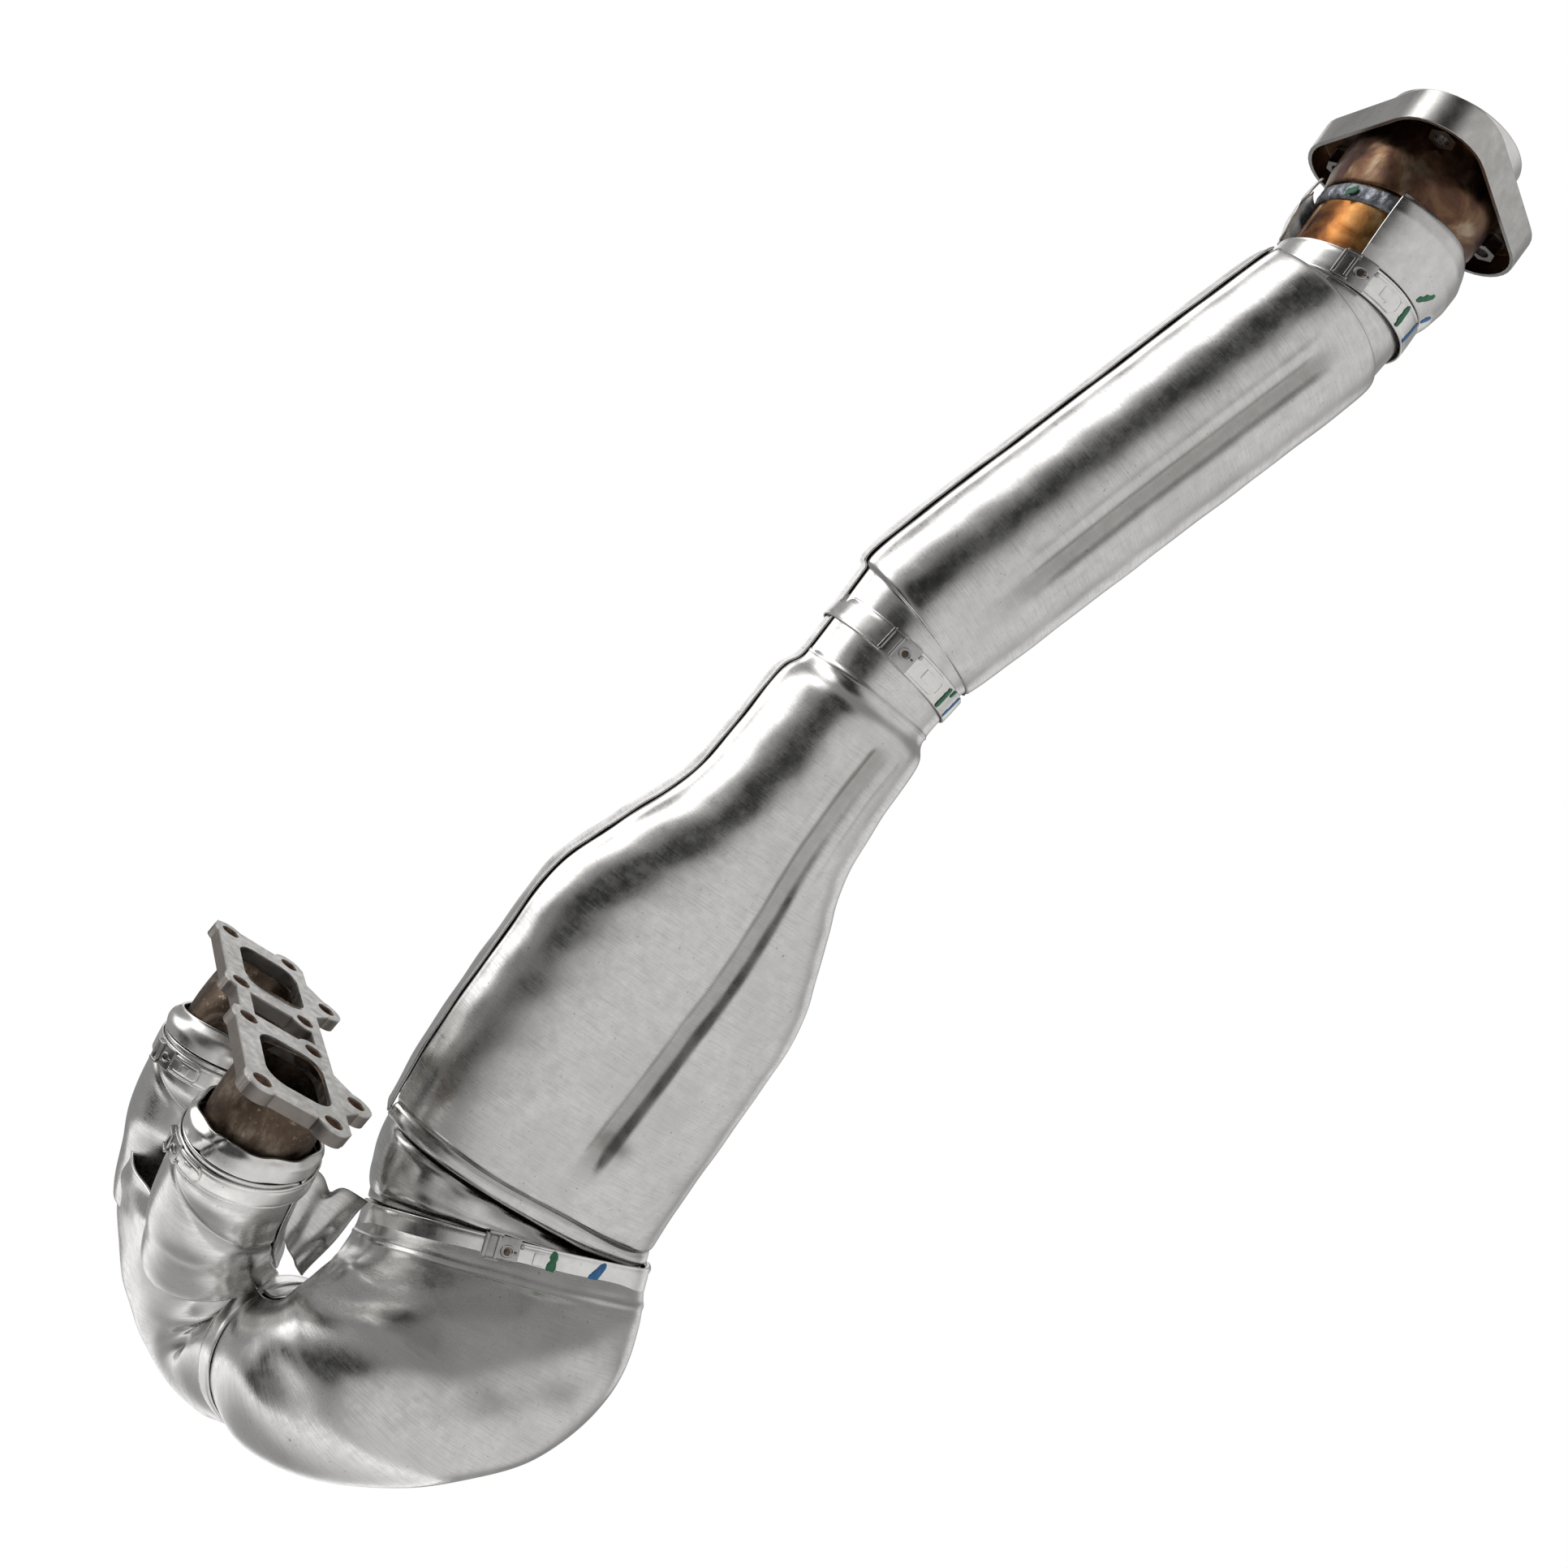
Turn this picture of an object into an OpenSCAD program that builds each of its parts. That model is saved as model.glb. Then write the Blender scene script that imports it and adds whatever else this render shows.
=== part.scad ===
// Racing exhaust system: a two-into-one header, a shielded oval can and a shielded round can.
// Units are millimetres. The origin is on the head flange's gasket face, midway between the ports.
// +Z points into the cylinder head, +X towards the near port, +Y towards the long cans.

/* [Head flange] */
// Thickness of the flange plate
flange_t = 6; // [4:0.5:10]
// Distance between the two port centres
port_pitch = 86.5; // [80:0.5:95]
// Port width along X
port_w = 40.5; // [36:0.5:44]
// Port height along Y
port_h = 30.8; // [26:0.2:34]
// Corner radius of a port
port_corner_r = 9.5; // [5:0.5:14]
// Clearance hole diameter for the studs
stud_hole_d = 8.4; // [6.4:0.1:10.5]
// Radius of the boss round each stud hole
boss_r = 7.8; // [6:0.1:10]

/* [Sheet and tube] */
// Thickness of the pressed heat shields
shield_t = 1.2; // [0.8:0.1:2]
// Gap between a shield and the hot part inside it
air_gap = 4; // [2:0.5:6]
// Wall thickness of the gas carrying tubes
tube_t = 1.5; // [1:0.1:2.5]
// Outer radius of a primary pipe
primary_r = 22; // [18:0.5:25]
// Seam gap between the two halves of a shield, in degrees of the section
seam_gap = 3; // [1:0.5:6]

/* [Band clamps] */
// Width of the wide bands on the cans and the collector
wide_band_w = 12.7; // [9.5:0.1:19]
// Width of the narrow bands on the primary shields
narrow_band_w = 9.5; // [8:0.1:12.7]
// Thickness of a band
band_t = 0.9; // [0.6:0.1:1.5]
// Radius of a wide band over the necks of the cans
neck_band_r = 35.9; // [33:0.1:38]

/* [Silencer] */
// Radius of the silencer casing
casing_r = 34.5; // [32:0.5:36]
// Radius of the perforated core
core_r = 21; // [18:0.5:25]
// Diameter of a hole in the perforated core
core_hole_d = 5; // [3:0.5:6]

/* [Outlet] */
// Outer radius of the outlet pipe and spigot
outlet_r = 33; // [30:0.5:34]
// Distance from the flange's centre to the centre of each corner
outlet_corner_d = 33; // [30:0.5:38]
// Radius of each corner of the outlet flange
outlet_corner_r = 25; // [20:0.5:28]
// Radius of the outlet flange's bolt circle
outlet_bolt_r = 44; // [42:0.5:47]
// Clearance hole diameter in the outlet flange
outlet_hole_d = 8.4; // [6.4:0.1:10.5]
// Turn of the first corner of the outlet flange
outlet_turn = 78; // [60:1:100]

/* [View] */
// The piece to draw

/* [Hidden] */
$fn = 64;
steel = [0.75, 0.75, 0.74];
bright = [0.84, 0.84, 0.83];
dark = [0.32, 0.27, 0.24];
ceramic = [0.80, 0.76, 0.70];
wool = [0.87, 0.84, 0.75];
neck_r = outlet_r - 0.6;
port_y = -5.4;
stud_x = [69.75, 16.75, 72.65, 13.85, 43.25];
stud_y = [-24.1, -24.1, 8.0, 8.0, 24.1];
seam_mid = 188;
skin = air_gap + shield_t;

// A station is [centre, flow direction, long axis, [half length, half depth, squareness]].
elbow_path = [
  [[34, 75, -112], [0.92, 0.04, 0.38], [0.30, 0.72, -0.62], [30, 30, 2]],
  [[53, 77, -105], [0.80, 0.02, 0.58], [0.38, 0.76, -0.52], [34, 32, 2]],
  [[68, 82, -96], [0.52, 0.08, 0.83], [0.44, 0.81, -0.38], [40, 33, 2.05]],
  [[77, 93, -83], [0.12, 0.13, 0.98], [0.42, 0.88, -0.20], [49, 34, 2.1]],
  [[73, 110, -70], [-0.20, 0.08, 0.96], [0.40, 0.91, -0.05], [60, 36, 2.2]],
  [[55, 128, -56], [-0.38, -0.02, 0.92], [0.36, 0.92, 0.12], [66, 37, 2.3]],
  [[32, 138, -43], [-0.42, -0.18, 0.89], [0.31, 0.91, 0.26], [67, 38, 2.5]],
  [[11, 141, -31], [-0.40, -0.26, 0.88], [0.30, 0.89, 0.36], [64.5, 38, 2.6]]
];
bead_path = [
  [[10, 140.3, -29], [-0.38, -0.26, 0.88], [0.30, 0.89, 0.35], [64.5, 38, 2.6]],
  [[7.5, 138.6, -24], [-0.28, -0.21, 0.93], [0.28, 0.91, 0.28], [66.5, 39, 2.6]],
  [[4.5, 136.4, -18.5], [-0.16, -0.15, 0.97], [0.27, 0.94, 0.18], [68.5, 39.5, 2.6]],
  [[2, 134, -13], [-0.05, -0.10, 0.99], [0.26, 0.96, 0.08], [68, 38.5, 2.6]],
  [[1, 133, -10], [0, -0.08, 0.997], [0.26, 0.97, 0], [66, 36.5, 2.6]]
];
mid_path = [
  [[0, 132.3, -8], [0, -0.079, 0.997], [0.26, 0.97, 0], [70, 38, 2.6]],
  [[0, 126, 32], [0, -0.079, 0.997], [0.26, 0.97, 0], [71, 38, 2.6]],
  [[0, 121.9, 77], [0, -0.079, 0.997], [0.26, 0.97, 0], [71, 38.5, 2.6]],
  [[0, 117.8, 121], [0, -0.079, 0.997], [0.26, 0.97, 0], [69.5, 39, 2.5]],
  [[0, 115.3, 155], [0, -0.079, 0.997], [0.26, 0.97, 0], [58, 40, 2.3]],
  [[0, 113.4, 188], [0, -0.079, 0.997], [0.26, 0.97, 0], [45, 40.5, 2.1]],
  [[0, 111, 221], [0, -0.079, 0.997], [0.26, 0.97, 0], [41, 41, 2]],
  [[0, 109.5, 250], [0, -0.079, 0.997], [0.26, 0.97, 0], [40, 40, 2]],
  [[0, 108.8, 262], [0, -0.06, 0.998], [0.26, 0.97, 0], [35, 35, 2]],
  [[0, 108.3, 283], [0.02, 0, 1], [0.26, 0.97, 0], [35, 35, 2]]
];
upper_path = [
  [[-0.6, 107, 286], [0.06, 0.05, 1], [0.26, 0.97, 0], [34.8, 34.8, 2]],
  [[0.2, 107, 300], [0.12, 0.14, 0.98], [0.26, 0.97, 0], [37, 37, 2]],
  [[1.6, 108, 314], [0.151, 0.178, 0.972], [0.26, 0.97, 0], [40.7, 40.7, 2]],
  [[16.5, 126, 413], [0.151, 0.178, 0.972], [0.26, 0.97, 0], [40.7, 40.7, 2]],
  [[31.5, 144, 511], [0.151, 0.178, 0.972], [0.26, 0.97, 0], [40.4, 40.4, 2]],
  [[33.3, 146.3, 522], [0.10, 0.09, 0.99], [0.26, 0.97, 0], [37, 37, 2]],
  [[34.6, 147.8, 531], [0.05, -0.03, 1], [0.26, 0.97, 0], [35, 35, 2]],
  [[35.2, 147.9, 542], [0.018, -0.09, 0.995], [0.26, 0.97, 0], [34.9, 34.9, 2]]
];
far_path = [
  [[-43.25, -5.4, -6], [0.16, 0.02, -0.99], [1, 0, 0.16], [22, 18, 3.2]],
  [[-38, -5, -22], [0.20, 0.14, -0.97], [1, 0, 0.20], [22, 22, 2]],
  [[-35, -2, -40], [0.03, 0.20, -0.98], [1, 0, 0.03], [22, 22, 2]],
  [[-38, 7, -70], [-0.08, 0.38, -0.92], [1, 0.06, -0.06], [22, 22, 2]],
  [[-41, 29, -105], [0, 0.60, -0.80], [0.96, 0.20, 0.15], [22, 22, 2]]
];
near_path = [
  [[43.25, -5.4, -6], [-0.04, 0.12, -0.99], [1, 0, -0.04], [22, 18, 3.2]],
  [[42, -2, -23], [-0.05, 0.22, -0.97], [1, 0, -0.05], [22, 22, 2]],
  [[40, 2, -38], [-0.18, 0.30, -0.94], [1, 0, -0.2], [22, 22, 2]],
  [[28, 14, -69], [-0.44, 0.46, -0.77], [0.90, 0.24, -0.37], [22, 22, 2]],
  [[6, 37, -98.5], [-0.10, 0.62, -0.78], [0.95, 0.20, -0.05], [22, 22, 2]]
];
merge_path = [
  [[-12, 21, -87], [0, 0.55, -0.83], [0.98, 0.17, 0.10], [55, 27.5, 2.8]],
  [[-19, 32, -104], [0, 0.62, -0.78], [0.96, 0.25, 0.12], [48, 27, 2.5]],
  [[-17, 47, -121], [0.20, 0.72, -0.64], [0.93, 0.02, 0.36], [46, 28, 2.4]],
  [[-9, 63.5, -133], [0.58, 0.66, -0.42], [0.72, -0.30, 0.62], [36, 28, 2.2]],
  [[13, 73, -127], [0.88, 0.36, 0.10], [0.28, -0.58, 0.76], [32, 29, 2.1]],
  [[34, 75, -112], [0.92, 0.04, 0.38], [-0.30, -0.72, 0.62], [30, 30, 2]]
];
upper_axis = [0.151, 0.178, 0.972];
upper_start = [-4.2, 101.6, 279.8];
outlet_axis = [0.018, -0.09, 0.995];
outlet_start = [35.1, 148.2, 536];

// ---- Swept sections ----

function unit(v) = v / norm(v);

function blend(p0, p1, p2, p3, t) =
  0.5 * (2 * p1 + (p2 - p0) * t + (2 * p0 - 5 * p1 + 4 * p2 - p3) * t * t
  + (3 * p1 - p0 - 3 * p2 + p3) * t * t * t);

// The station at position u along a path, smoothly interpolated.
function station(path, u) =
  let (n = len(path), i = min(floor(u), n - 2), p1 = path[i], p2 = path[i + 1])
  let (p0 = i > 0 ? path[i - 1] : 2 * p1 - p2, p3 = i < n - 2 ? path[i + 2] : 2 * p2 - p1)
  blend(p0, p1, p2, p3, u - i);

// Points of a section from angle a0 to a1, moved inwards by an offset.
function outline(s, inset, a0, a1, n) =
  let (t = unit(s[1]), l = unit(s[2] - t * (s[2] * t)), m = cross(t, l), k = 2 / s[3][2])
  [for (i = [0 : n])
    let (q = a0 + (a1 - a0) * i / n, c = cos(q), d = sin(q))
    s[0] + l * ((s[3][0] - inset) * sign(c) * pow(abs(c), k))
    + m * ((s[3][1] - inset) * sign(d) * pow(abs(d), k))];

function positions(u0, u1, rings) = [for (i = [0 : rings]) u0 + (u1 - u0) * i / rings];

function reversed(v) = [for (i = [len(v) - 1 : -1 : 0]) v[i]];

function flat(v) = [for (a = v) for (b = a) b];

// Side faces between rings of m points each.
function sides(rings, m, flip = false, start = 0, step = 0) =
  let (w = step > 0 ? step : m)
  [for (i = [0 : rings - 1]) for (k = [0 : m - 1])
    let (k2 = (k + 1) % m, a = start + i * w, b = a + w)
    for (f = [[a + k, b + k, b + k2], [a + k, b + k2, a + k2]]) flip ? reversed(f) : f];

// One half of a two-piece shield: a C-shaped strip swept along a path.
module half_loft(path, u0, u1, rings, outside, inside, a0, a1, n) {
  us = positions(u0, u1, rings);
  m = 2 * n + 2;
  points = flat([for (u = us)
    let (s = station(path, u))
    concat(outline(s, outside, a0, a1, n), reversed(outline(s, inside, a0, a1, n)))]);
  cap = flat([for (j = [0 : n - 1])
    [[j, j + 1, m - 2 - j], [j, m - 2 - j, m - 1 - j]]]);
  far_cap = [for (f = cap) [for (k = reversed(f)) k + rings * m]];
  polyhedron(points, concat(sides(rings, m), cap, far_cap), 6);
}

// A closed tube swept along a path.
module tube_loft(path, u0, u1, rings, outside, inside, n) {
  us = positions(u0, u1, rings);
  points = flat([for (u = us)
    let (s = station(path, u), q = 360 - 360 / n)
    concat(outline(s, outside, 0, q, n - 1), outline(s, inside, 0, q, n - 1))]);
  cap = flat([for (j = [0 : n - 1])
    let (k = (j + 1) % n) [[j, k, n + k], [j, n + k, n + j]]]);
  far_cap = [for (f = cap) [for (k = reversed(f)) k + rings * 2 * n]];
  outer = sides(rings, n, false, 0, 2 * n);
  inner = sides(rings, n, true, n, 2 * n);
  polyhedron(points, concat(outer, inner, cap, far_cap), 6);
}

// A solid block swept along a path.
module solid_loft(path, u0, u1, rings, inset, n) {
  us = positions(u0, u1, rings);
  points = flat([for (u = us) outline(station(path, u), inset, 0, 360 - 360 / n, n - 1)]);
  cap = [for (j = [1 : n - 2]) [0, j, j + 1]];
  far_cap = [for (f = cap) [for (k = reversed(f)) k + rings * n]];
  polyhedron(points, concat(sides(rings, n), cap, far_cap), 6);
}

// Puts the child's Z axis on a direction, with the least turn.
module along(p, v) {
  d = unit(v);
  turn = atan2(d[1], d[0]);
  translate(p)
    rotate([0, acos(d[2]), turn])
      rotate([0, 0, -turn])
        children();
}

// ---- Clamps ----

// Flat band round a circular neck, centred on its own width.
module round_band(r, w) {
  rotate_extrude()
    translate([r, -w / 2])
      square([band_t, w]);
}

// Buckle of a strap clamp: a keyhole plate, two folded ears, a ball and a tongue.
module buckle(r, w, at) {
  rotate([0, 0, at])
    translate([r + band_t + 0.05, 0, 0])
      rotate([90, 0, 90]) {
        difference() {
          translate([-w * 0.62, -w * 0.5, 0])
            cube([w * 1.24, w, 1.2]);
          translate([-w * 0.2, 0, -1])
            cylinder(r = w * 0.13, h = 4);
          translate([-w * 0.2, -w * 0.05, -1])
            cube([w * 0.45, w * 0.1, 4]);
        }
        for (side = [-1, 1])
          translate([-w * 0.62, side * (w * 0.5 - 0.6) - 0.6, 1.15])
            cube([w * 0.4, 1.2, 2]);
        translate([w * 0.36, 0, 1.6])
          sphere(r = w * 0.16);
      }
}

// ---- Head flange and header ----

module rounded_slot(w, h, r) {
  square([w - 2 * r, h], center = true);
  square([w, h - 2 * r], center = true);
  for (x = [-1, 1])
    for (y = [-1, 1])
      translate([x * (w / 2 - r), y * (h / 2 - r)])
        circle(r);
}

module flange_outline() {
  translate([-75, -27])
    square([150, 43]);
  for (x = [-1, 1]) {
    translate([x * 43.25 - 32, -30.5])
      square([64, 4]);
    for (i = [0 : 4])
      translate([x * stud_x[i], stud_y[i]])
        circle(boss_r);
    translate([x * 43.25, 0])
      polygon([[-17, 15.5], [17, 15.5], [boss_r, stud_y[4]], [-boss_r, stud_y[4]]]);
  }
}

module head_flange() {
  color(steel)
    translate([0, 0, -flange_t])
      linear_extrude(flange_t)
        difference() {
          flange_outline();
          difference() {
            translate([-10.5, -20.5])
              square([21, 30.8]);
            for (x = [-1, 1])
              translate([x * stud_x[3], stud_y[3]])
                circle(boss_r);
          }
          for (x = [-1, 1]) {
            translate([x * port_pitch / 2, port_y])
              rounded_slot(port_w, port_h, port_corner_r);
            for (i = [0 : 4])
              translate([x * stud_x[i], stud_y[i]])
                circle(d = stud_hole_d);
          }
        }
}

module primary_pipe_far() {
  color(dark)
    tube_loft(far_path, 0, 4, 9, 0, tube_t, 24);
}

module primary_pipe_near() {
  color(dark)
    tube_loft(near_path, 0, 4, 9, 0, tube_t, 24);
}

module merge_collector() {
  color(dark)
    tube_loft(merge_path, 1, 5, 9, skin, skin + tube_t, 24);
}

// Flared collar that stands out of a limb shield above its clamp.
module collar(path, u0, u1) {
  tube_loft(path, u0, u1, 3, -skin, -air_gap, 24);
}

module collar_far() {
  color(bright)
    collar(far_path, 1.15, 1.72);
}

module collar_near() {
  color(bright)
    collar(near_path, 1.15, 1.72);
}

far_clamp = station(far_path, 2);
near_clamp = station(near_path, 2);
clamp_r = primary_r + air_gap + shield_t;

module band_far() {
  color(bright)
    along(far_clamp[0], far_clamp[1])
      round_band(clamp_r + 0.3, narrow_band_w);
}

module band_near() {
  color(bright)
    along(near_clamp[0], near_clamp[1])
      round_band(clamp_r + 0.3, narrow_band_w);
}

module buckle_far() {
  color(bright)
    along(far_clamp[0], far_clamp[1])
      buckle(clamp_r + 0.3, narrow_band_w, -120);
}

module buckle_near() {
  color(bright)
    along(near_clamp[0], near_clamp[1])
      buckle(clamp_r + 0.3, narrow_band_w, -120);
}

module limb_half(path, a0, a1) {
  half_loft(path, 1.75, 3.6, 6, -skin, -air_gap, a0, a1, 12);
}

module limb_shield_far_front() {
  color(steel)
    limb_half(far_path, seam_gap - 45, 135 - seam_gap);
}

module limb_shield_far_back() {
  color(steel)
    limb_half(far_path, 135, 315);
}

module limb_shield_near_front() {
  color(steel)
    limb_half(near_path, seam_gap - 45, 135 - seam_gap);
}

module limb_shield_near_back() {
  color(steel)
    limb_half(near_path, 135, 315);
}

module merge_shield_front() {
  color(steel)
    half_loft(merge_path, 0.06, 4.8, 11, 0, shield_t, seam_gap - 45, 135 - seam_gap, 12);
}

module merge_shield_back() {
  color(steel)
    half_loft(merge_path, 0.06, 4.8, 11, 0, shield_t, 135, 315, 12);
}

// Flat seam web that ties the near limb's shield to the elbow's shield.
module web_panel() {
  color(steel)
    polyhedron(
      [[20, 33, -40], [8, 75, -47], [28, 62, -80], [29, 43, -68],
       [21, 33.4, -39.5], [9, 75.4, -46.5], [29, 62.4, -79.5], [30, 43.4, -67.5]],
      [[0, 2, 1], [0, 3, 2], [4, 5, 6], [4, 6, 7], [0, 1, 5], [0, 5, 4],
       [1, 2, 6], [1, 6, 5], [2, 3, 7], [2, 7, 6], [3, 0, 4], [3, 4, 7]], 4);
}

// ---- Collector joint and elbow ----

collector = station(elbow_path, 0);

module band_collector() {
  color(bright)
    along(collector[0], collector[1])
      round_band(30.6, wide_band_w);
}

module buckle_collector() {
  color(bright)
    along(collector[0], collector[1])
      buckle(30.6, wide_band_w, 120);
}

module elbow_shield_front() {
  color(steel)
    half_loft(elbow_path, 0.15, 6.9, 15, 0, shield_t, 185, 365 - seam_gap, 14);
}

module elbow_shield_back() {
  color(steel)
    half_loft(elbow_path, 0.15, 6.9, 15, 0, shield_t, 5, 185 - seam_gap, 14);
}

module elbow_pipe() {
  color(dark)
    tube_loft(concat(elbow_path, bead_path), 0.1, 11.8, 21, skin, skin + tube_t, 24);
}

module band_oval() {
  color(bright)
    tube_loft(elbow_path, 6.55, 7.05, 2, -0.3 - band_t, -0.3, 32);
}

oval = station(elbow_path, 6.8);

module buckle_oval() {
  color(bright)
    translate(oval[0])
      multmatrix(frame_of(oval))
        translate([4, -oval[3][1] - 1.5, 0])
          rotate([0, 0, -90])
            buckle(0, wide_band_w, 0);
}

// Turns X, Y and Z onto a station's long axis, short axis and flow direction.
function frame_of(s) =
  let (t = unit(s[1]), l = unit(s[2] - t * (s[2] * t)), m = cross(t, l))
  [[l[0], m[0], t[0], 0], [l[1], m[1], t[1], 0], [l[2], m[2], t[2], 0], [0, 0, 0, 1]];

module elbow_neck_bead() {
  color(steel)
    tube_loft(bead_path, 0.25, 4, 6, 0, shield_t, 32);
}

// ---- Oval can ----

module mid_shield_front() {
  color(steel)
    half_loft(mid_path, 0, 9, 13, 0, shield_t, seam_mid, 362 - seam_gap, 16);
}

module mid_shield_back() {
  color(steel)
    half_loft(mid_path, 0, 9, 13, 0, shield_t, 2, seam_mid - seam_gap, 16);
}

module catalyst_casing() {
  color(dark)
    tube_loft(mid_path, 0.05, 8.6, 11, skin, skin + tube_t, 28);
}

module catalyst_mat() {
  color(wool)
    tube_loft(mid_path, 1, 3, 2, skin + tube_t, skin + tube_t + 3, 28);
}

module catalyst_monolith() {
  color(ceramic)
    solid_loft(mid_path, 1, 3, 2, skin + tube_t + 3, 28);
}

mid_joint = [0.3, 108.1, 284.5];

module band_mid() {
  color(bright)
    along(mid_joint, [0.02, 0.05, 1])
      round_band(neck_band_r, wide_band_w);
}

module buckle_mid() {
  color(bright)
    along(mid_joint, [0.02, 0.05, 1])
      buckle(neck_band_r, wide_band_w, -28);
}

// ---- Round can ----

link_path = [
  [[0, 108.4, 272], [0, 0, 1], [0.26, 0.97, 0], [28, 28, 2]],
  [[0, 108, 285], [0.05, 0.03, 1], [0.26, 0.97, 0], [28, 28, 2]],
  [[0.8, 107.7, 298], [0.12, 0.12, 0.98], [0.26, 0.97, 0], [28, 28, 2]],
  [[2.4, 109.2, 312], [0.151, 0.178, 0.972], [0.26, 0.97, 0], [28, 28, 2]]
];

module link_pipe() {
  color(dark)
    tube_loft(link_path, 0, 3, 5, 0.5, 0.5 + tube_t, 28);
}

module upper_shield_front() {
  color(steel)
    half_loft(upper_path, 0, 7, 9, 0, shield_t, seam_mid, 362 - seam_gap, 16);
}

module upper_shield_back() {
  color(steel)
    half_loft(upper_path, 0, 7, 9, 0, shield_t, 2, seam_mid - seam_gap, 16);
}

module silencer_casing() {
  color(dark)
    along(upper_start, upper_axis)
      rotate_extrude()
        polygon([
          [casing_r - 6, 36], [casing_r, 46], [casing_r, 222], [casing_r - 6, 232],
          [casing_r - 6 - tube_t, 232], [casing_r - tube_t, 221.4],
          [casing_r - tube_t, 46.6], [casing_r - 6 - tube_t, 36]
        ]);
}

module silencer_core() {
  color(dark)
    along(upper_start, upper_axis)
      difference() {
        translate([0, 0, 40])
          cylinder(r = core_r, h = 190);
        translate([0, 0, 39])
          cylinder(r = core_r - tube_t, h = 192);
        for (k = [0 : 3])
          for (a = [0 : 45 : 135])
            translate([0, 0, 75 + k * 38])
              rotate([0, 90, a])
                cylinder(d = core_hole_d, h = 3 * core_r, center = true, $fn = 16);
      }
}

module silencer_packing() {
  color(wool)
    along(upper_start, upper_axis)
      difference() {
        translate([0, 0, 48])
          cylinder(r = casing_r - tube_t, h = 172);
        translate([0, 0, 47])
          cylinder(r = core_r, h = 174);
      }
}

module band_top() {
  color(bright)
    along(outlet_start, outlet_axis)
      round_band(neck_band_r, wide_band_w);
}

module buckle_top() {
  color(bright)
    along(outlet_start, outlet_axis)
      buckle(neck_band_r, wide_band_w, -38);
}

// ---- Outlet ----

// Part ring of the short shield that stands round the outlet neck above the top band.
module tail_part(from, sweep) {
  along(outlet_start, outlet_axis)
    rotate([0, 0, from])
      rotate_extrude(angle = sweep)
        polygon([
          [35, 7], [38, 13], [40, 23], [40, 33], [37.6, 39],
          [38.6, 39.6], [41.2, 33.4], [41.2, 22.7], [39, 12.4], [36, 7]
        ]);
}

module tail_shield_front() {
  color(steel)
    tail_part(-75, 170);
}

module tail_shield_back() {
  color(steel)
    tail_part(100, 125);
}

module outlet_pipe() {
  color(steel)
    along(outlet_start, outlet_axis)
      rotate_extrude()
        translate([neck_r - tube_t, 7])
          square([tube_t, 35]);
}

module outlet_weld() {
  color(dark)
    along(outlet_start, outlet_axis)
      rotate_extrude()
        polygon([
          [neck_r + 0.05, 30], [outlet_r + 0.9, 31.2], [outlet_r + 1.4, 34],
          [outlet_r + 0.9, 36.8], [neck_r + 0.05, 38]
        ]);
}

module outlet_bell() {
  color(dark)
    along(outlet_start, outlet_axis)
      rotate_extrude()
        polygon([
          [neck_r + 0.05, 38.1], [outlet_r + 1, 38.1], [35.2, 42.5], [36.8, 48],
          [37, 55], [36.4, 62], [36.6, 70.4], [34.8, 70.4], [34.6, 62],
          [35.2, 55], [35, 48.4], [33.6, 43.5], [neck_r + 0.05, 40.4]
        ]);
}

// Rounded triangle with three corners of radius r, their centres at distance d.
module corner_plan(d, r) {
  polygon([for (k = [0 : 2]) for (j = [-6 : 6])
    let (q = outlet_turn + 120 * k)
    [d * cos(q) + r * cos(q + 10 * j), d * sin(q) + r * sin(q + 10 * j)]]);
}

module outlet_flange() {
  color(steel)
    along(outlet_start, outlet_axis)
      difference() {
        translate([0, 0, 59.5])
          linear_extrude(14)
            corner_plan(outlet_corner_d, outlet_corner_r);
        translate([0, 0, 58])
          linear_extrude(12.5)
            corner_plan(outlet_corner_d, outlet_corner_r - 2);
        translate([0, 0, 65])
          cylinder(r = outlet_r + 0.05, h = 12);
        for (k = [0 : 2])
          rotate(outlet_turn + 120 * k)
            translate([outlet_bolt_r, 0, 65])
              cylinder(d = outlet_hole_d, h = 12);
      }
}

module outlet_nuts() {
  color(bright)
    along(outlet_start, outlet_axis)
      for (k = [0 : 2])
        rotate(outlet_turn + 120 * k)
          translate([outlet_bolt_r, 0, 62])
            difference() {
              union() {
                cylinder(r = 6.6, h = 7.5, $fn = 6);
                translate([0, 0, 7.1])
                  cylinder(r = 6.9, h = 1.3);
              }
              translate([0, 0, -1])
                cylinder(r = 3.4, h = 12);
            }
}

module outlet_spigot() {
  color(steel)
    along(outlet_start, outlet_axis)
      rotate_extrude()
        polygon([
          [neck_r - tube_t, 42.1], [neck_r, 42.1], [neck_r, 74],
          [outlet_r, 74], [outlet_r, 88], [neck_r - tube_t, 88]
        ]);
}

head_flange();
primary_pipe_far();
primary_pipe_near();
merge_collector();
collar_far();
collar_near();
band_far();
band_near();
buckle_far();
buckle_near();
limb_shield_far_front();
limb_shield_far_back();
limb_shield_near_front();
limb_shield_near_back();
merge_shield_front();
merge_shield_back();
web_panel();
band_collector();
buckle_collector();
elbow_shield_front();
elbow_shield_back();
elbow_pipe();
band_oval();
buckle_oval();
elbow_neck_bead();
mid_shield_front();
mid_shield_back();
catalyst_casing();
catalyst_mat();
catalyst_monolith();
band_mid();
buckle_mid();
link_pipe();
upper_shield_front();
upper_shield_back();
silencer_casing();
silencer_core();
silencer_packing();
band_top();
buckle_top();
tail_shield_front();
tail_shield_back();
outlet_pipe();
outlet_weld();
outlet_bell();
outlet_flange();
outlet_nuts();
outlet_spigot();
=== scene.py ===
import math
import bmesh
import bpy
import numpy as np
from mathutils import Matrix, Vector


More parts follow.
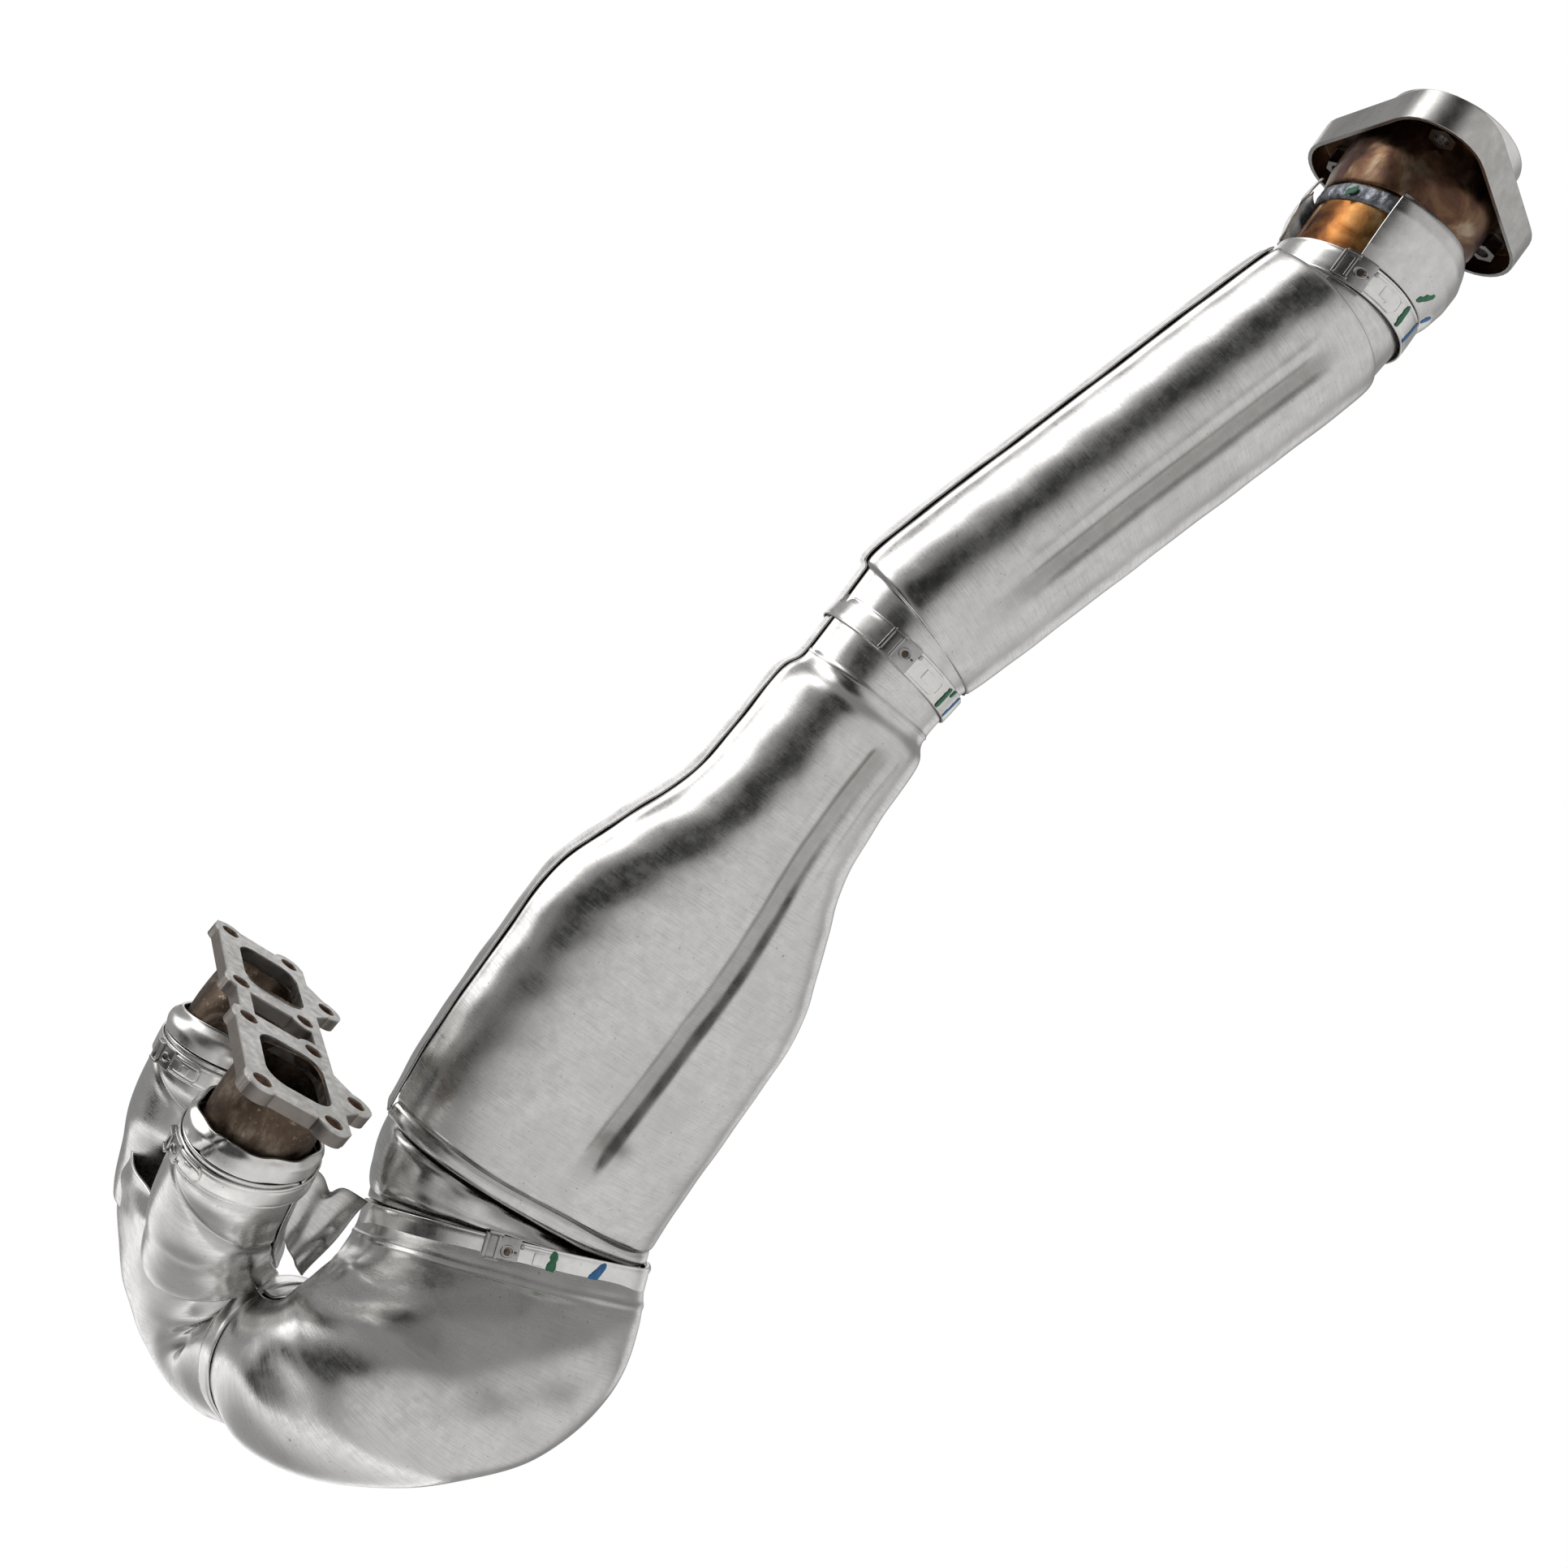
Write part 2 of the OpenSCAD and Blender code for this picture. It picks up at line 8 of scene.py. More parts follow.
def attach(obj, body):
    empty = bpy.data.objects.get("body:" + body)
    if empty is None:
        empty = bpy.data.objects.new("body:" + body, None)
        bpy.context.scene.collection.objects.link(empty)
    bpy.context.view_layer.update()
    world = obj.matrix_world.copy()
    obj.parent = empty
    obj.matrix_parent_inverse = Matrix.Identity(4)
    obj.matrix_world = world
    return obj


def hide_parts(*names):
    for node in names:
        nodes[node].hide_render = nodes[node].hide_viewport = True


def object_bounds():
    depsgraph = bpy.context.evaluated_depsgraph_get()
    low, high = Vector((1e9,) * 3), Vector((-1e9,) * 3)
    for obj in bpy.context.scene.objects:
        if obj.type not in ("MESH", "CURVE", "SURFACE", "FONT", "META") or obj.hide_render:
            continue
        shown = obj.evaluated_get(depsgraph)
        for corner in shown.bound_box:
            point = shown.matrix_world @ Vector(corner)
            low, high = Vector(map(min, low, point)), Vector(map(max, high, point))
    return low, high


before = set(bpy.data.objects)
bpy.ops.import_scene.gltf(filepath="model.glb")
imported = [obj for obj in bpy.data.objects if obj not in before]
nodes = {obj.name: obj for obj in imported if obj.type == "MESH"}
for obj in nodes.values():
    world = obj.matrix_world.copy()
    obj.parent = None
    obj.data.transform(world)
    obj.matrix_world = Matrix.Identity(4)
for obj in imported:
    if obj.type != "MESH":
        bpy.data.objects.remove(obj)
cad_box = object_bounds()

MM = 0.001
WIDE_BAND = 12.7
NARROW_BAND = 9.5
BAND_T = 0.9
NECK_R = 35.9
LIMB_BAND_R = 27.5
JOINT_BAND_R = 30.6
NECK_PIPE_R = 32.4
SPIGOT_R = 33
SKIN = 5.2  # air gap and shield sheet outside a primary pipe
MARK_R = NECK_R + 1.15  # paint lies just outside a neck band

# ---- Camera, solved from the photo and rolled so the cans rise to the right ----

CAM_RIGHT = Vector((0.3977, 0.6590, 0.6384))
CAM_UP = Vector((-0.3073, -0.5599, 0.7695))
CAM_BACK = Vector((0.8645, -0.5022, -0.0201))
CAM_PLACE = Vector((598.3, -240.6, 195.2)) * MM


def make_camera():
    data = bpy.data.cameras.new("camera")
    data.lens = 35
    data.sensor_width = 36
    data.clip_start = 0.01
    data.clip_end = 50
    cam = bpy.data.objects.new("camera", data)
    bpy.context.scene.collection.objects.link(cam)
    turn = Matrix((CAM_RIGHT, CAM_UP, CAM_BACK)).transposed().to_4x4()
    cam.matrix_world = Matrix.Translation(CAM_PLACE) @ turn
    bpy.context.scene.camera = cam


# ---- Swept sections, the same stations as the CAD model, in mm ----

ELBOW = [
    [[34, 75, -112], [.92, .04, .38], [.30, .72, -.62], [30, 30, 2]],
    [[53, 77, -105], [.80, .02, .58], [.38, .76, -.52], [34, 32, 2]],
    [[68, 82, -96], [.52, .08, .83], [.44, .81, -.38], [40, 33, 2.05]],
    [[77, 93, -83], [.12, .13, .98], [.42, .88, -.20], [49, 34, 2.1]],
    [[73, 110, -70], [-.20, .08, .96], [.40, .91, -.05], [60, 36, 2.2]],
    [[55, 128, -56], [-.38, -.02, .92], [.36, .92, .12], [66, 37, 2.3]],
    [[32, 138, -43], [-.42, -.18, .89], [.31, .91, .26], [67, 38, 2.5]],
    [[11, 141, -31], [-.40, -.26, .88], [.30, .89, .36], [64.5, 38, 2.6]],
]
BEAD = [
    [[10, 140.3, -29], [-.38, -.26, .88], [.30, .89, .35], [64.5, 38, 2.6]],
    [[7.5, 138.6, -24], [-.28, -.21, .93], [.28, .91, .28], [66.5, 39, 2.6]],
    [[4.5, 136.4, -18.5], [-.16, -.15, .97], [.27, .94, .18], [68.5, 39.5, 2.6]],
    [[2, 134, -13], [-.05, -.10, .99], [.26, .96, .08], [68, 38.5, 2.6]],
    [[1, 133, -10], [0, -.08, .997], [.26, .97, 0], [66, 36.5, 2.6]],
]
UP_MID = [0, -.079, .997]
LONG = [.26, .97, 0]
MID = [
    [[0, 132.3, -8], UP_MID, LONG, [70, 38, 2.6]],
    [[0, 126, 32], UP_MID, LONG, [71, 38, 2.6]],
    [[0, 121.9, 77], UP_MID, LONG, [71, 38.5, 2.6]],
    [[0, 117.8, 121], UP_MID, LONG, [69.5, 39, 2.5]],
    [[0, 115.3, 155], UP_MID, LONG, [58, 40, 2.3]],
    [[0, 113.4, 188], UP_MID, LONG, [45, 40.5, 2.1]],
    [[0, 111, 221], UP_MID, LONG, [41, 41, 2]],
    [[0, 109.5, 250], UP_MID, LONG, [40, 40, 2]],
    [[0, 108.8, 262], [0, -.06, .998], LONG, [35, 35, 2]],
    [[0, 108.3, 283], [.02, 0, 1], LONG, [35, 35, 2]],
]
UP_TOP = [.151, .178, .972]
UPPER = [
    [[-.6, 107, 286], [.06, .05, 1], LONG, [34.8, 34.8, 2]],
    [[.2, 107, 300], [.12, .14, .98], LONG, [37, 37, 2]],
    [[1.6, 108, 314], UP_TOP, LONG, [40.7, 40.7, 2]],
    [[16.5, 126, 413], UP_TOP, LONG, [40.7, 40.7, 2]],
    [[31.5, 144, 511], UP_TOP, LONG, [40.4, 40.4, 2]],
    [[33.3, 146.3, 522], [.10, .09, .99], LONG, [37, 37, 2]],
    [[34.6, 147.8, 531], [.05, -.03, 1], LONG, [35, 35, 2]],
    [[35.2, 147.9, 542], [.018, -.09, .995], LONG, [34.9, 34.9, 2]],
]
FAR = [
    [[-43.25, -5.4, -6], [.16, .02, -.99], [1, 0, .16], [22, 18, 3.2]],
    [[-38, -5, -22], [.20, .14, -.97], [1, 0, .20], [22, 22, 2]],
    [[-35, -2, -40], [.03, .20, -.98], [1, 0, .03], [22, 22, 2]],
    [[-38, 7, -70], [-.08, .38, -.92], [1, .06, -.06], [22, 22, 2]],
    [[-41, 29, -105], [0, .60, -.80], [.96, .20, .15], [22, 22, 2]],
]
NEAR = [
    [[43.25, -5.4, -6], [-.04, .12, -.99], [1, 0, -.04], [22, 18, 3.2]],
    [[42, -2, -23], [-.05, .22, -.97], [1, 0, -.05], [22, 22, 2]],
    [[40, 2, -38], [-.18, .30, -.94], [1, 0, -.2], [22, 22, 2]],
    [[28, 14, -69], [-.44, .46, -.77], [.90, .24, -.37], [22, 22, 2]],
    [[6, 37, -98.5], [-.10, .62, -.78], [.95, .20, -.05], [22, 22, 2]],
]
MERGE = [
    [[-12, 21, -87], [0, .55, -.83], [.98, .17, .10], [55, 27.5, 2.8]],
    [[-19, 32, -104], [0, .62, -.78], [.96, .25, .12], [48, 27, 2.5]],
    [[-17, 47, -121], [.20, .72, -.64], [.93, .02, .36], [46, 28, 2.4]],
    [[-9, 63.5, -133], [.58, .66, -.42], [.72, -.30, .62], [36, 28, 2.2]],
    [[13, 73, -127], [.88, .36, .10], [.28, -.58, .76], [32, 29, 2.1]],
    [[34, 75, -112], [.92, .04, .38], [-.30, -.72, .62], [30, 30, 2]],
]
OUT_AXIS = Vector((.018, -.09, .995)).normalized()
OUT_PLACE = Vector((35.1, 148.2, 536))
MID_PLACE = Vector((.3, 108.1, 284.5))
MID_AXIS = Vector((.02, .05, 1))


def stations(path):
    return np.array([[*c, *t, *l, *s] for c, t, l, s in path], float)


def sample(path, us):
    """Catmull-Rom stations at the positions us along a path."""
    p = stations(path)
    q = np.vstack([2 * p[0] - p[1], p, 2 * p[-1] - p[-2]])
    i = np.clip(np.floor(us).astype(int), 0, len(p) - 2)
    t = (us - i)[:, None]
    a, b, c, d = q[i], q[i + 1], q[i + 2], q[i + 3]
    return 0.5 * (2 * b + (c - a) * t + (2 * a - 5 * b + 4 * c - d) * t ** 2
                  + (3 * b - a - 3 * c + d) * t ** 3)


def unit(v):
    return v / np.linalg.norm(v, axis=-1, keepdims=True)


def surface(path, us, th, grow=0.0):
    """Grid of points and outward normals on a swept section, th in degrees."""
    s = sample(path, np.asarray(us, float))
    t = unit(s[:, 3:6])
    l = unit(s[:, 6:9] - t * np.sum(s[:, 6:9] * t, 1)[:, None])
    m = np.cross(t, l)
    th = np.radians(np.asarray(th, float))
    c, d = np.cos(th), np.sin(th)
    k = 2 / s[:, 11][:, None]
    x = (s[:, 9][:, None] + grow) * np.sign(c) * np.abs(c) ** k
    y = (s[:, 10][:, None] + grow) * np.sign(d) * np.abs(d) ** k
    p = s[:, None, 0:3] + x[..., None] * l[:, None] + y[..., None] * m[:, None]
    du = np.gradient(p, axis=0)
    dv = np.gradient(p, axis=1)
    n = unit(np.cross(dv, du))
    out = np.sum(n * (p - s[:, None, 0:3]), -1, keepdims=True)
    return p, n * np.sign(out), s


def smooth(lo, hi, x):
    t = np.clip((x - lo) / (hi - lo), 0, 1)
    return t * t * (3 - 2 * t)


def grid_object(name, p, uv, closed=False, shade_and_spots=None):
    """Mesh object from a grid of points in mm, with a UV map in metres along and round the sweep."""
    nu, nv = p.shape[:2]
    cols = nv - 1
    faces = []
    for i in range(nu - 1):
        for j in range(cols):
            k = (j + 1) % (nv - 1) if closed else j + 1
            faces.append((i * nv + j, i * nv + k, (i + 1) * nv + k, (i + 1) * nv + j))
    mesh = bpy.data.meshes.new(name)
    mesh.from_pydata((p.reshape(-1, 3) * MM).tolist(), [], faces)
    layer = mesh.uv_layers.new(name="flow")
    flat = uv.reshape(-1, 2) * MM
    wrap = []
    for i in range(nu - 1):
        for j in range(cols):
            wrap += [i * nv + j, i * nv + j + 1, (i + 1) * nv + j + 1, (i + 1) * nv + j]
    layer.data.foreach_set("uv", flat[wrap].astype(np.float32).ravel())
    # the mask holds painted shade in creases, grooves, dents and seams, plus a few dark spots, and the shield
    # material darkens by it
    if shade_and_spots is not None:
        at = mesh.attributes.new("shade_and_spots", "FLOAT", "POINT")
        at.data.foreach_set("value", np.clip(shade_and_spots, 0, 1).astype(np.float32).ravel())
    mesh.polygons.foreach_set("use_smooth", [True] * len(mesh.polygons))
    obj = bpy.data.objects.new(name, mesh)
    bpy.context.scene.collection.objects.link(obj)
    if closed:
        bm = bmesh.new()
        bm.from_mesh(mesh)
        loose = [v for v in bm.verts if not v.link_faces]
        bmesh.ops.delete(bm, geom=loose, context="VERTS")
        bm.to_mesh(mesh)
        bm.free()
    return obj


def wall(obj, thick, offset=-1):
    """Gives a sheet its thickness in mm."""
    mod = obj.modifiers.new("wall", "SOLIDIFY")
    mod.thickness = thick * MM
    mod.offset = offset
    mod.use_quality_normals = True
    return obj


def sheet_piece(name, path, u0, u1, a0, a1, nu, nv, mat, slot, covers, shape=None, thick=1.2, grow=0.0):
    """A pressed shield half: a swept strip, moved along its normal by shape(u, th, along, round)."""
    us = np.linspace(u0, u1, nu)
    th = np.linspace(a0, a1, nv)
    p, n, s = surface(path, us, th, grow)
    along = np.concatenate([[0], np.cumsum(np.linalg.norm(np.diff(s[:, :3], axis=0), axis=1))])
    ring = np.linalg.norm(np.diff(p, axis=1), axis=2)
    rr = np.concatenate([np.zeros((nu, 1)), np.cumsum(ring, axis=1)], axis=1)
    uu, tt = np.meshgrid(us, th, indexing="ij")
    aa = np.repeat(along[:, None], nv, axis=1)
    # shape gives the rise and a mask of painted shade for its creases and dents
    shade_and_spots = np.zeros_like(uu)
    if shape:
        d, shade_and_spots = shape(uu, tt, aa, rr)
        p = p + n * d[..., None]
    closed = abs(a1 - a0) >= 359.9
    obj = grid_object(name, p, np.stack([aa, rr], -1), closed, shade_and_spots)
    # the wall goes inwards wherever the grid's own normals point
    wall(obj, thick, 1 if faces_in(obj, s) else -1)
    obj.data.materials.append(mat)
    return adopt(obj, slot, covers)


def faces_in(obj, s):
    """Whether the mesh's own normals point at the path that it was swept along."""
    mesh = obj.data
    total = 0.0
    path = s[:, :3] * MM
    for poly in list(mesh.polygons)[:: max(1, len(mesh.polygons) // 60)]:
        c = np.array(poly.center)
        near = path[np.argmin(np.linalg.norm(path - c, axis=1))]
        total += float(np.dot(np.array(poly.normal), c - near))
    return total < 0


def adopt(obj, slot, covers=()):
    """Hands a piece to the frame: its body, and hides the CAD nodes it stands for. The slot argument is not
    used.
    """
    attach(obj, "root")
    if covers:
        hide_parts(*covers)
    return obj


# ---- Materials ----


class Graph:
    """Small helper round a material's node tree."""

    def __init__(self, name):
        self.mat = bpy.data.materials.new(name)
        self.mat.use_nodes = True
        self.tree = self.mat.node_tree
        self.shader = self.tree.nodes["Principled BSDF"]
        self.coord = self.add("ShaderNodeTexCoord")

    def add(self, kind, **values):
        node = self.tree.nodes.new(kind)
        for k, v in values.items():
            setattr(node, k, v)
        return node

    def link(self, a, b):
        self.tree.links.new(a, b)

    def noise(self, scale, detail=4, rough=0.55, vector=None, distort=0.0):
        n = self.add("ShaderNodeTexNoise")
        n.inputs["Scale"].default_value = scale
        n.inputs["Detail"].default_value = detail
        n.inputs["Roughness"].default_value = rough
        n.inputs["Distortion"].default_value = distort
        self.link(vector or self.coord.outputs["Object"], n.inputs["Vector"])
        return n.outputs["Fac"]

    def stretched(self, sx, sy, scale=1.0, detail=3, rough=0.6):
        """Noise in the flow map, stretched by sx along the sweep and sy round it."""
        m = self.add("ShaderNodeMapping")
        m.inputs["Scale"].default_value = (sx, sy, 1)
        self.link(self.coord.outputs["UV"], m.inputs["Vector"])
        return self.noise(scale, detail, rough, m.outputs["Vector"])

    def ramp(self, fac, stops):
        r = self.add("ShaderNodeValToRGB")
        e = r.color_ramp.elements
        while len(e) < len(stops):
            e.new(0.5)
        for k, (pos, col) in zip(e, stops):
            k.position = pos
            k.color = (*col, 1) if len(col) == 3 else col
        self.link(fac, r.inputs["Fac"])
        return r.outputs["Color"]

    def span(self, fac, a, b, lo, hi):
        m = self.add("ShaderNodeMapRange")
        for key, v in (("From Min", a), ("From Max", b), ("To Min", lo), ("To Max", hi)):
            m.inputs[key].default_value = v
        self.link(fac, m.inputs["Value"])
        return m.outputs["Result"]

    def mix(self, fac, a, b, how="MIX"):
        m = self.add("ShaderNodeMix", data_type="RGBA", blend_type=how)
        if isinstance(fac, (int, float)):
            m.inputs["Factor"].default_value = fac
        else:
            self.link(fac, m.inputs["Factor"])
        for key, v in (("A", a), ("B", b)):
            socket = [s for s in m.inputs if s.name == key and s.type == "RGBA"][0]
            if isinstance(v, tuple):
                socket.default_value = (*v, 1)
            else:
                self.link(v, socket)
        return [s for s in m.outputs if s.type == "RGBA"][0]

    def math(self, how, a, b=None):
        m = self.add("ShaderNodeMath", operation=how)
        for i, v in enumerate((a, b)):
            if v is None:
                continue
            if isinstance(v, (int, float)):
                m.inputs[i].default_value = v
            else:
                self.link(v, m.inputs[i])
        return m.outputs[0]

    def bump(self, height, strength, distance, under=None):
        b = self.add("ShaderNodeBump")
        b.inputs["Strength"].default_value = strength
        b.inputs["Distance"].default_value = distance
        self.link(height, b.inputs["Height"])
        if under is not None:
            self.link(under, b.inputs["Normal"])
        return b.outputs["Normal"]

    def finish(self, color, rough, normal=None, metallic=1.0):
        self.link(color, self.shader.inputs["Base Color"])
        if isinstance(rough, (int, float)):
            self.shader.inputs["Roughness"].default_value = rough
        else:
            self.link(rough, self.shader.inputs["Roughness"])
        self.shader.inputs["Metallic"].default_value = metallic
        if normal is not None:
            self.link(normal, self.shader.inputs["Normal"])
        return self.mat


def shield_material(name, light, mid, grain=0.25, wave=0.5, rough=(0.24, 0.46), flow=True):
    g = Graph(name)
    patches = g.noise(22, 6, 0.6, distort=0.6)
    mottle = g.noise(160, 8, 0.7)
    color = g.ramp(patches, [(0.30, mid), (0.56, light)])
    color = g.mix(g.span(mottle, 0.35, 0.65, 0.0, 0.6), color, mid)
    specks = g.ramp(g.noise(520, 3, 0.5), [(0.69, (0, 0, 0)), (0.76, (1, 1, 1))])
    color = g.mix(g.math("MULTIPLY", specks, 0.55), color, (0.13, 0.12, 0.11))
    # painted shade: this darkens the sheet in rib valleys, grooves, folds, dents and along seams and lips,
    # with a few dark spots on the mid shield
    shade_and_spots = g.add("ShaderNodeAttribute", attribute_name="shade_and_spots").outputs["Fac"]
    color = g.mix(g.math("MULTIPLY", shade_and_spots, 0.75), color, (0.16, 0.145, 0.13))
    value = g.span(mottle, 0.3, 0.7, rough[0], rough[1])
    value = g.math("ADD", value, g.span(patches, 0.3, 0.7, -0.05, 0.08))
    waves = g.noise(26, 3, 0.5)
    normal = g.bump(waves, wave, 0.0016)
    normal = g.bump(mottle, 0.10, 0.0004, normal)
    if flow:
        hair = g.stretched(2200, 60, 1.0, 2, 0.7)
        value = g.math("ADD", value, g.span(hair, 0.3, 0.7, -0.05, 0.07))
        color = g.mix(g.span(hair, 0.45, 0.75, 0.0, 0.35), color, (0.36, 0.355, 0.345))
        normal = g.bump(hair, grain, 0.00008, normal)
    else:
        normal = g.bump(g.noise(900, 4, 0.6), 0.08, 0.0001, normal)
    return g.finish(color, value, normal)


def dark_pipe_material():
    g = Graph("dark_pipe")
    patches = g.noise(45, 6, 0.65, distort=0.8)
    color = g.ramp(patches, [(0.30, (0.055, 0.040, 0.032)), (0.5, (0.12, 0.085, 0.06)),
                             (0.68, (0.30, 0.25, 0.20))])
    spots = g.ramp(g.noise(420, 4, 0.6), [(0.60, (0, 0, 0)), (0.70, (1, 1, 1))])
    color = g.mix(g.math("MULTIPLY", spots, 0.5), color, (0.42, 0.37, 0.31))
    rough = g.span(g.noise(150, 6, 0.6), 0.3, 0.7, 0.32, 0.62)
    normal = g.bump(g.noise(300, 5, 0.6), 0.25, 0.0005)
    return g.finish(color, rough, normal)


def flange_material():
    g = Graph("flange_steel")
    patches = g.noise(35, 6, 0.6)
    color = g.ramp(patches, [(0.3, (0.44, 0.43, 0.41)), (0.62, (0.66, 0.65, 0.63))])
    stains = g.ramp(g.noise(210, 5, 0.65), [(0.55, (0, 0, 0)), (0.72, (1, 1, 1))])
    color = g.mix(g.math("MULTIPLY", stains, 0.35), color, (0.24, 0.20, 0.16))
    height = g.add("ShaderNodeSeparateXYZ")
    g.link(g.coord.outputs["Object"], height.inputs["Vector"])
    # the machined face is bright, and everything below it is darker
    side = g.span(height.outputs["Z"], -0.0010, -0.0004, 0.8, 0.0)
    color = g.mix(side, color, (0.17, 0.14, 0.12))
    rough = g.span(g.noise(260, 5, 0.6), 0.3, 0.7, 0.36, 0.58)
    normal = g.bump(g.noise(700, 4, 0.6), 0.15, 0.0002)
    return g.finish(color, rough, normal)


def tint_material():
    g = Graph("tinted_steel")
    patches = g.noise(38, 6, 0.6, distort=1.2)
    color = g.ramp(patches, [(0.30, (0.045, 0.028, 0.026)), (0.44, (0.12, 0.062, 0.040)),
                             (0.56, (0.20, 0.120, 0.070)), (0.72, (0.42, 0.33, 0.25))])
    purple = g.ramp(g.noise(55, 3, 0.5), [(0.56, (0, 0, 0)), (0.70, (1, 1, 1))])
    color = g.mix(g.math("MULTIPLY", purple, 0.5), color, (0.16, 0.09, 0.13))
    rough = g.span(g.noise(140, 6, 0.6), 0.3, 0.7, 0.26, 0.5)
    normal = g.bump(g.noise(60, 4, 0.5), 0.3, 0.0012)
    return g.finish(color, rough, normal)


def copper_material():
    g = Graph("copper_neck")
    patches = g.noise(48, 6, 0.6, distort=0.8)
    color = g.ramp(patches, [(0.30, (0.14, 0.05, 0.02)), (0.44, (0.42, 0.17, 0.05)),
                             (0.58, (0.64, 0.34, 0.12)), (0.74, (0.84, 0.62, 0.36))])
    burn = g.ramp(g.noise(190, 5, 0.6), [(0.55, (0, 0, 0)), (0.70, (1, 1, 1))])
    color = g.mix(g.math("MULTIPLY", burn, 0.45), color, (0.16, 0.07, 0.04))
    rough = g.span(g.noise(150, 6, 0.6), 0.3, 0.7, 0.22, 0.42)
    return g.finish(color, rough, g.bump(g.noise(90, 4, 0.5), 0.25, 0.0008))


def rust_material():
    g = Graph("rust_thread")
    color = g.ramp(g.noise(330, 5, 0.6), [(0.3, (0.10, 0.055, 0.035)), (0.7, (0.27, 0.17, 0.11))])
    return g.finish(color, 0.6, g.bump(g.noise(700, 4, 0.6), 0.3, 0.0003), 0.6)


def paint_material(name, light, dark):
    g = Graph(name)
    color = g.ramp(g.noise(260, 6, 0.65), [(0.35, dark), (0.65, light)])
    worn = g.ramp(g.noise(620, 5, 0.7), [(0.60, (0, 0, 0)), (0.72, (1, 1, 1))])
    color = g.mix(g.math("MULTIPLY", worn, 0.35), color, (0.34, 0.38, 0.36))
    rough = g.span(g.noise(300, 5, 0.6), 0.3, 0.7, 0.35, 0.6)
    return g.finish(color, rough, g.bump(g.noise(420, 5, 0.6), 0.4, 0.0003), 0.0)


def weld_material():
    g = Graph("weld_bead")
    color = g.ramp(g.noise(240, 6, 0.65), [(0.35, (0.10, 0.11, 0.13)), (0.62, (0.38, 0.40, 0.43))])
    rough = g.span(g.noise(300, 5, 0.6), 0.3, 0.7, 0.25, 0.5)
    normal = g.bump(g.noise(420, 5, 0.6), 0.6, 0.0008)
    return g.finish(color, rough, normal)


def soft_material(name, light, dark, scale):
    g = Graph(name)
    color = g.ramp(g.noise(scale, 6, 0.6), [(0.3, dark), (0.7, light)])
    return g.finish(color, 0.9, g.bump(g.noise(scale * 3, 5), 0.3, 0.0005), 0.0)


SHIELD = shield_material("shield_steel", (0.76, 0.75, 0.735), (0.60, 0.59, 0.575), 0.30, 0.16, (0.15, 0.31))
BAND = shield_material("band_steel", (0.86, 0.85, 0.83), (0.70, 0.69, 0.67), 0.12, 0.25, (0.20, 0.34), False)
DARK = dark_pipe_material()
FLANGE = flange_material()
TINT = tint_material()
WELD = weld_material()
COPPER = copper_material()
CHROME = shield_material("nut_steel", (0.42, 0.41, 0.40), (0.22, 0.20, 0.19), 0.1, 0.1, (0.16, 0.30), False)
CUP = shield_material("outlet_cup", (0.62, 0.61, 0.59), (0.42, 0.41, 0.39), 0.1, 0.1, (0.18, 0.34), False)
PLATE = shield_material("buckle_steel", (0.52, 0.51, 0.50), (0.34, 0.33, 0.32), 0.1, 0.1, (0.18, 0.34), False)
RUST = rust_material()
GREEN = paint_material("paint_green", (0.03, 0.20, 0.095), (0.015, 0.11, 0.05))
BLUE = paint_material("paint_blue", (0.03, 0.20, 0.46), (0.015, 0.10, 0.27))
CERAMIC = soft_material("ceramic", (0.82, 0.78, 0.72), (0.66, 0.62, 0.56), 300)
WOOL = soft_material("wool", (0.88, 0.85, 0.77), (0.70, 0.66, 0.56), 400)


def paint_nodes():
    """Materials for every CAD node, whether it stays in view or is replaced later."""
    for name, obj in nodes.items():
        if name == "head_flange":
            mat = FLANGE
        elif name.startswith(("band_", "buckle_", "collar_")) or name == "outlet_nuts":
            mat = BAND
        elif name in ("outlet_pipe", "outlet_bell"):
            mat = TINT
        elif name == "outlet_weld":
            mat = WELD
        elif name == "catalyst_monolith":
            mat = CERAMIC
        elif name in ("catalyst_mat", "silencer_packing"):
            mat = WOOL
        elif name in ("primary_pipe_far", "primary_pipe_near", "merge_collector", "elbow_pipe",
                      "catalyst_casing", "link_pipe", "silencer_casing", "silencer_core"):
            mat = DARK
        else:
            mat = SHIELD
        obj.data.materials.clear()
        obj.data.materials.append(mat)


# ---- Shields ----


def near_line(u, th, rr, line):
    """Distance in mm round the section from a line given as (u, th) points."""
    us = [k[0] for k in line]
    at = np.interp(u[:, 0], us, [k[1] for k in line])
    base = np.array([np.interp(a, t, r) for a, t, r in zip(at, th, rr)])
    return rr - base[:, None]


def blob(u, th, spots):
    """Sum of soft dents or swellings, each (u, th, reach in u, reach in th, turn, height in mm)."""
    total = np.zeros_like(u)
    for cu, ct, du, dt, turn, height in spots:
        x, y = (u - cu) / du, (th - ct) / dt
        c, s = math.cos(math.radians(turn)), math.sin(math.radians(turn))
        total += height * np.exp(-(x * c + y * s) ** 2 - (y * c - x * s) ** 2 * 0.3)
    return total


def edges(rr, width, height):
    """Rise near both long edges of a strip."""
    end = rr[:, -1:]
    return height * (np.exp(-(rr / width) ** 2) + np.exp(-((end - rr) / width) ** 2))


def rib(u, th, rr, line, first, last):
    """A straight pressed valley, wide and soft, fading in and out at its ends."""
    d = near_line(u, th, rr, line)
    fade = smooth(first, first + 0.5, u) * (1 - smooth(last - 0.3, last, u))
    valley = np.exp(-(np.abs(d) / 5.0) ** 3) * fade
    # the valley is also returned as painted shade that darkens the pressed valley
    return -3.0 * valley + 0.6 * np.exp(-((np.abs(d) - 8.5) / 2.4) ** 2) * fade, valley


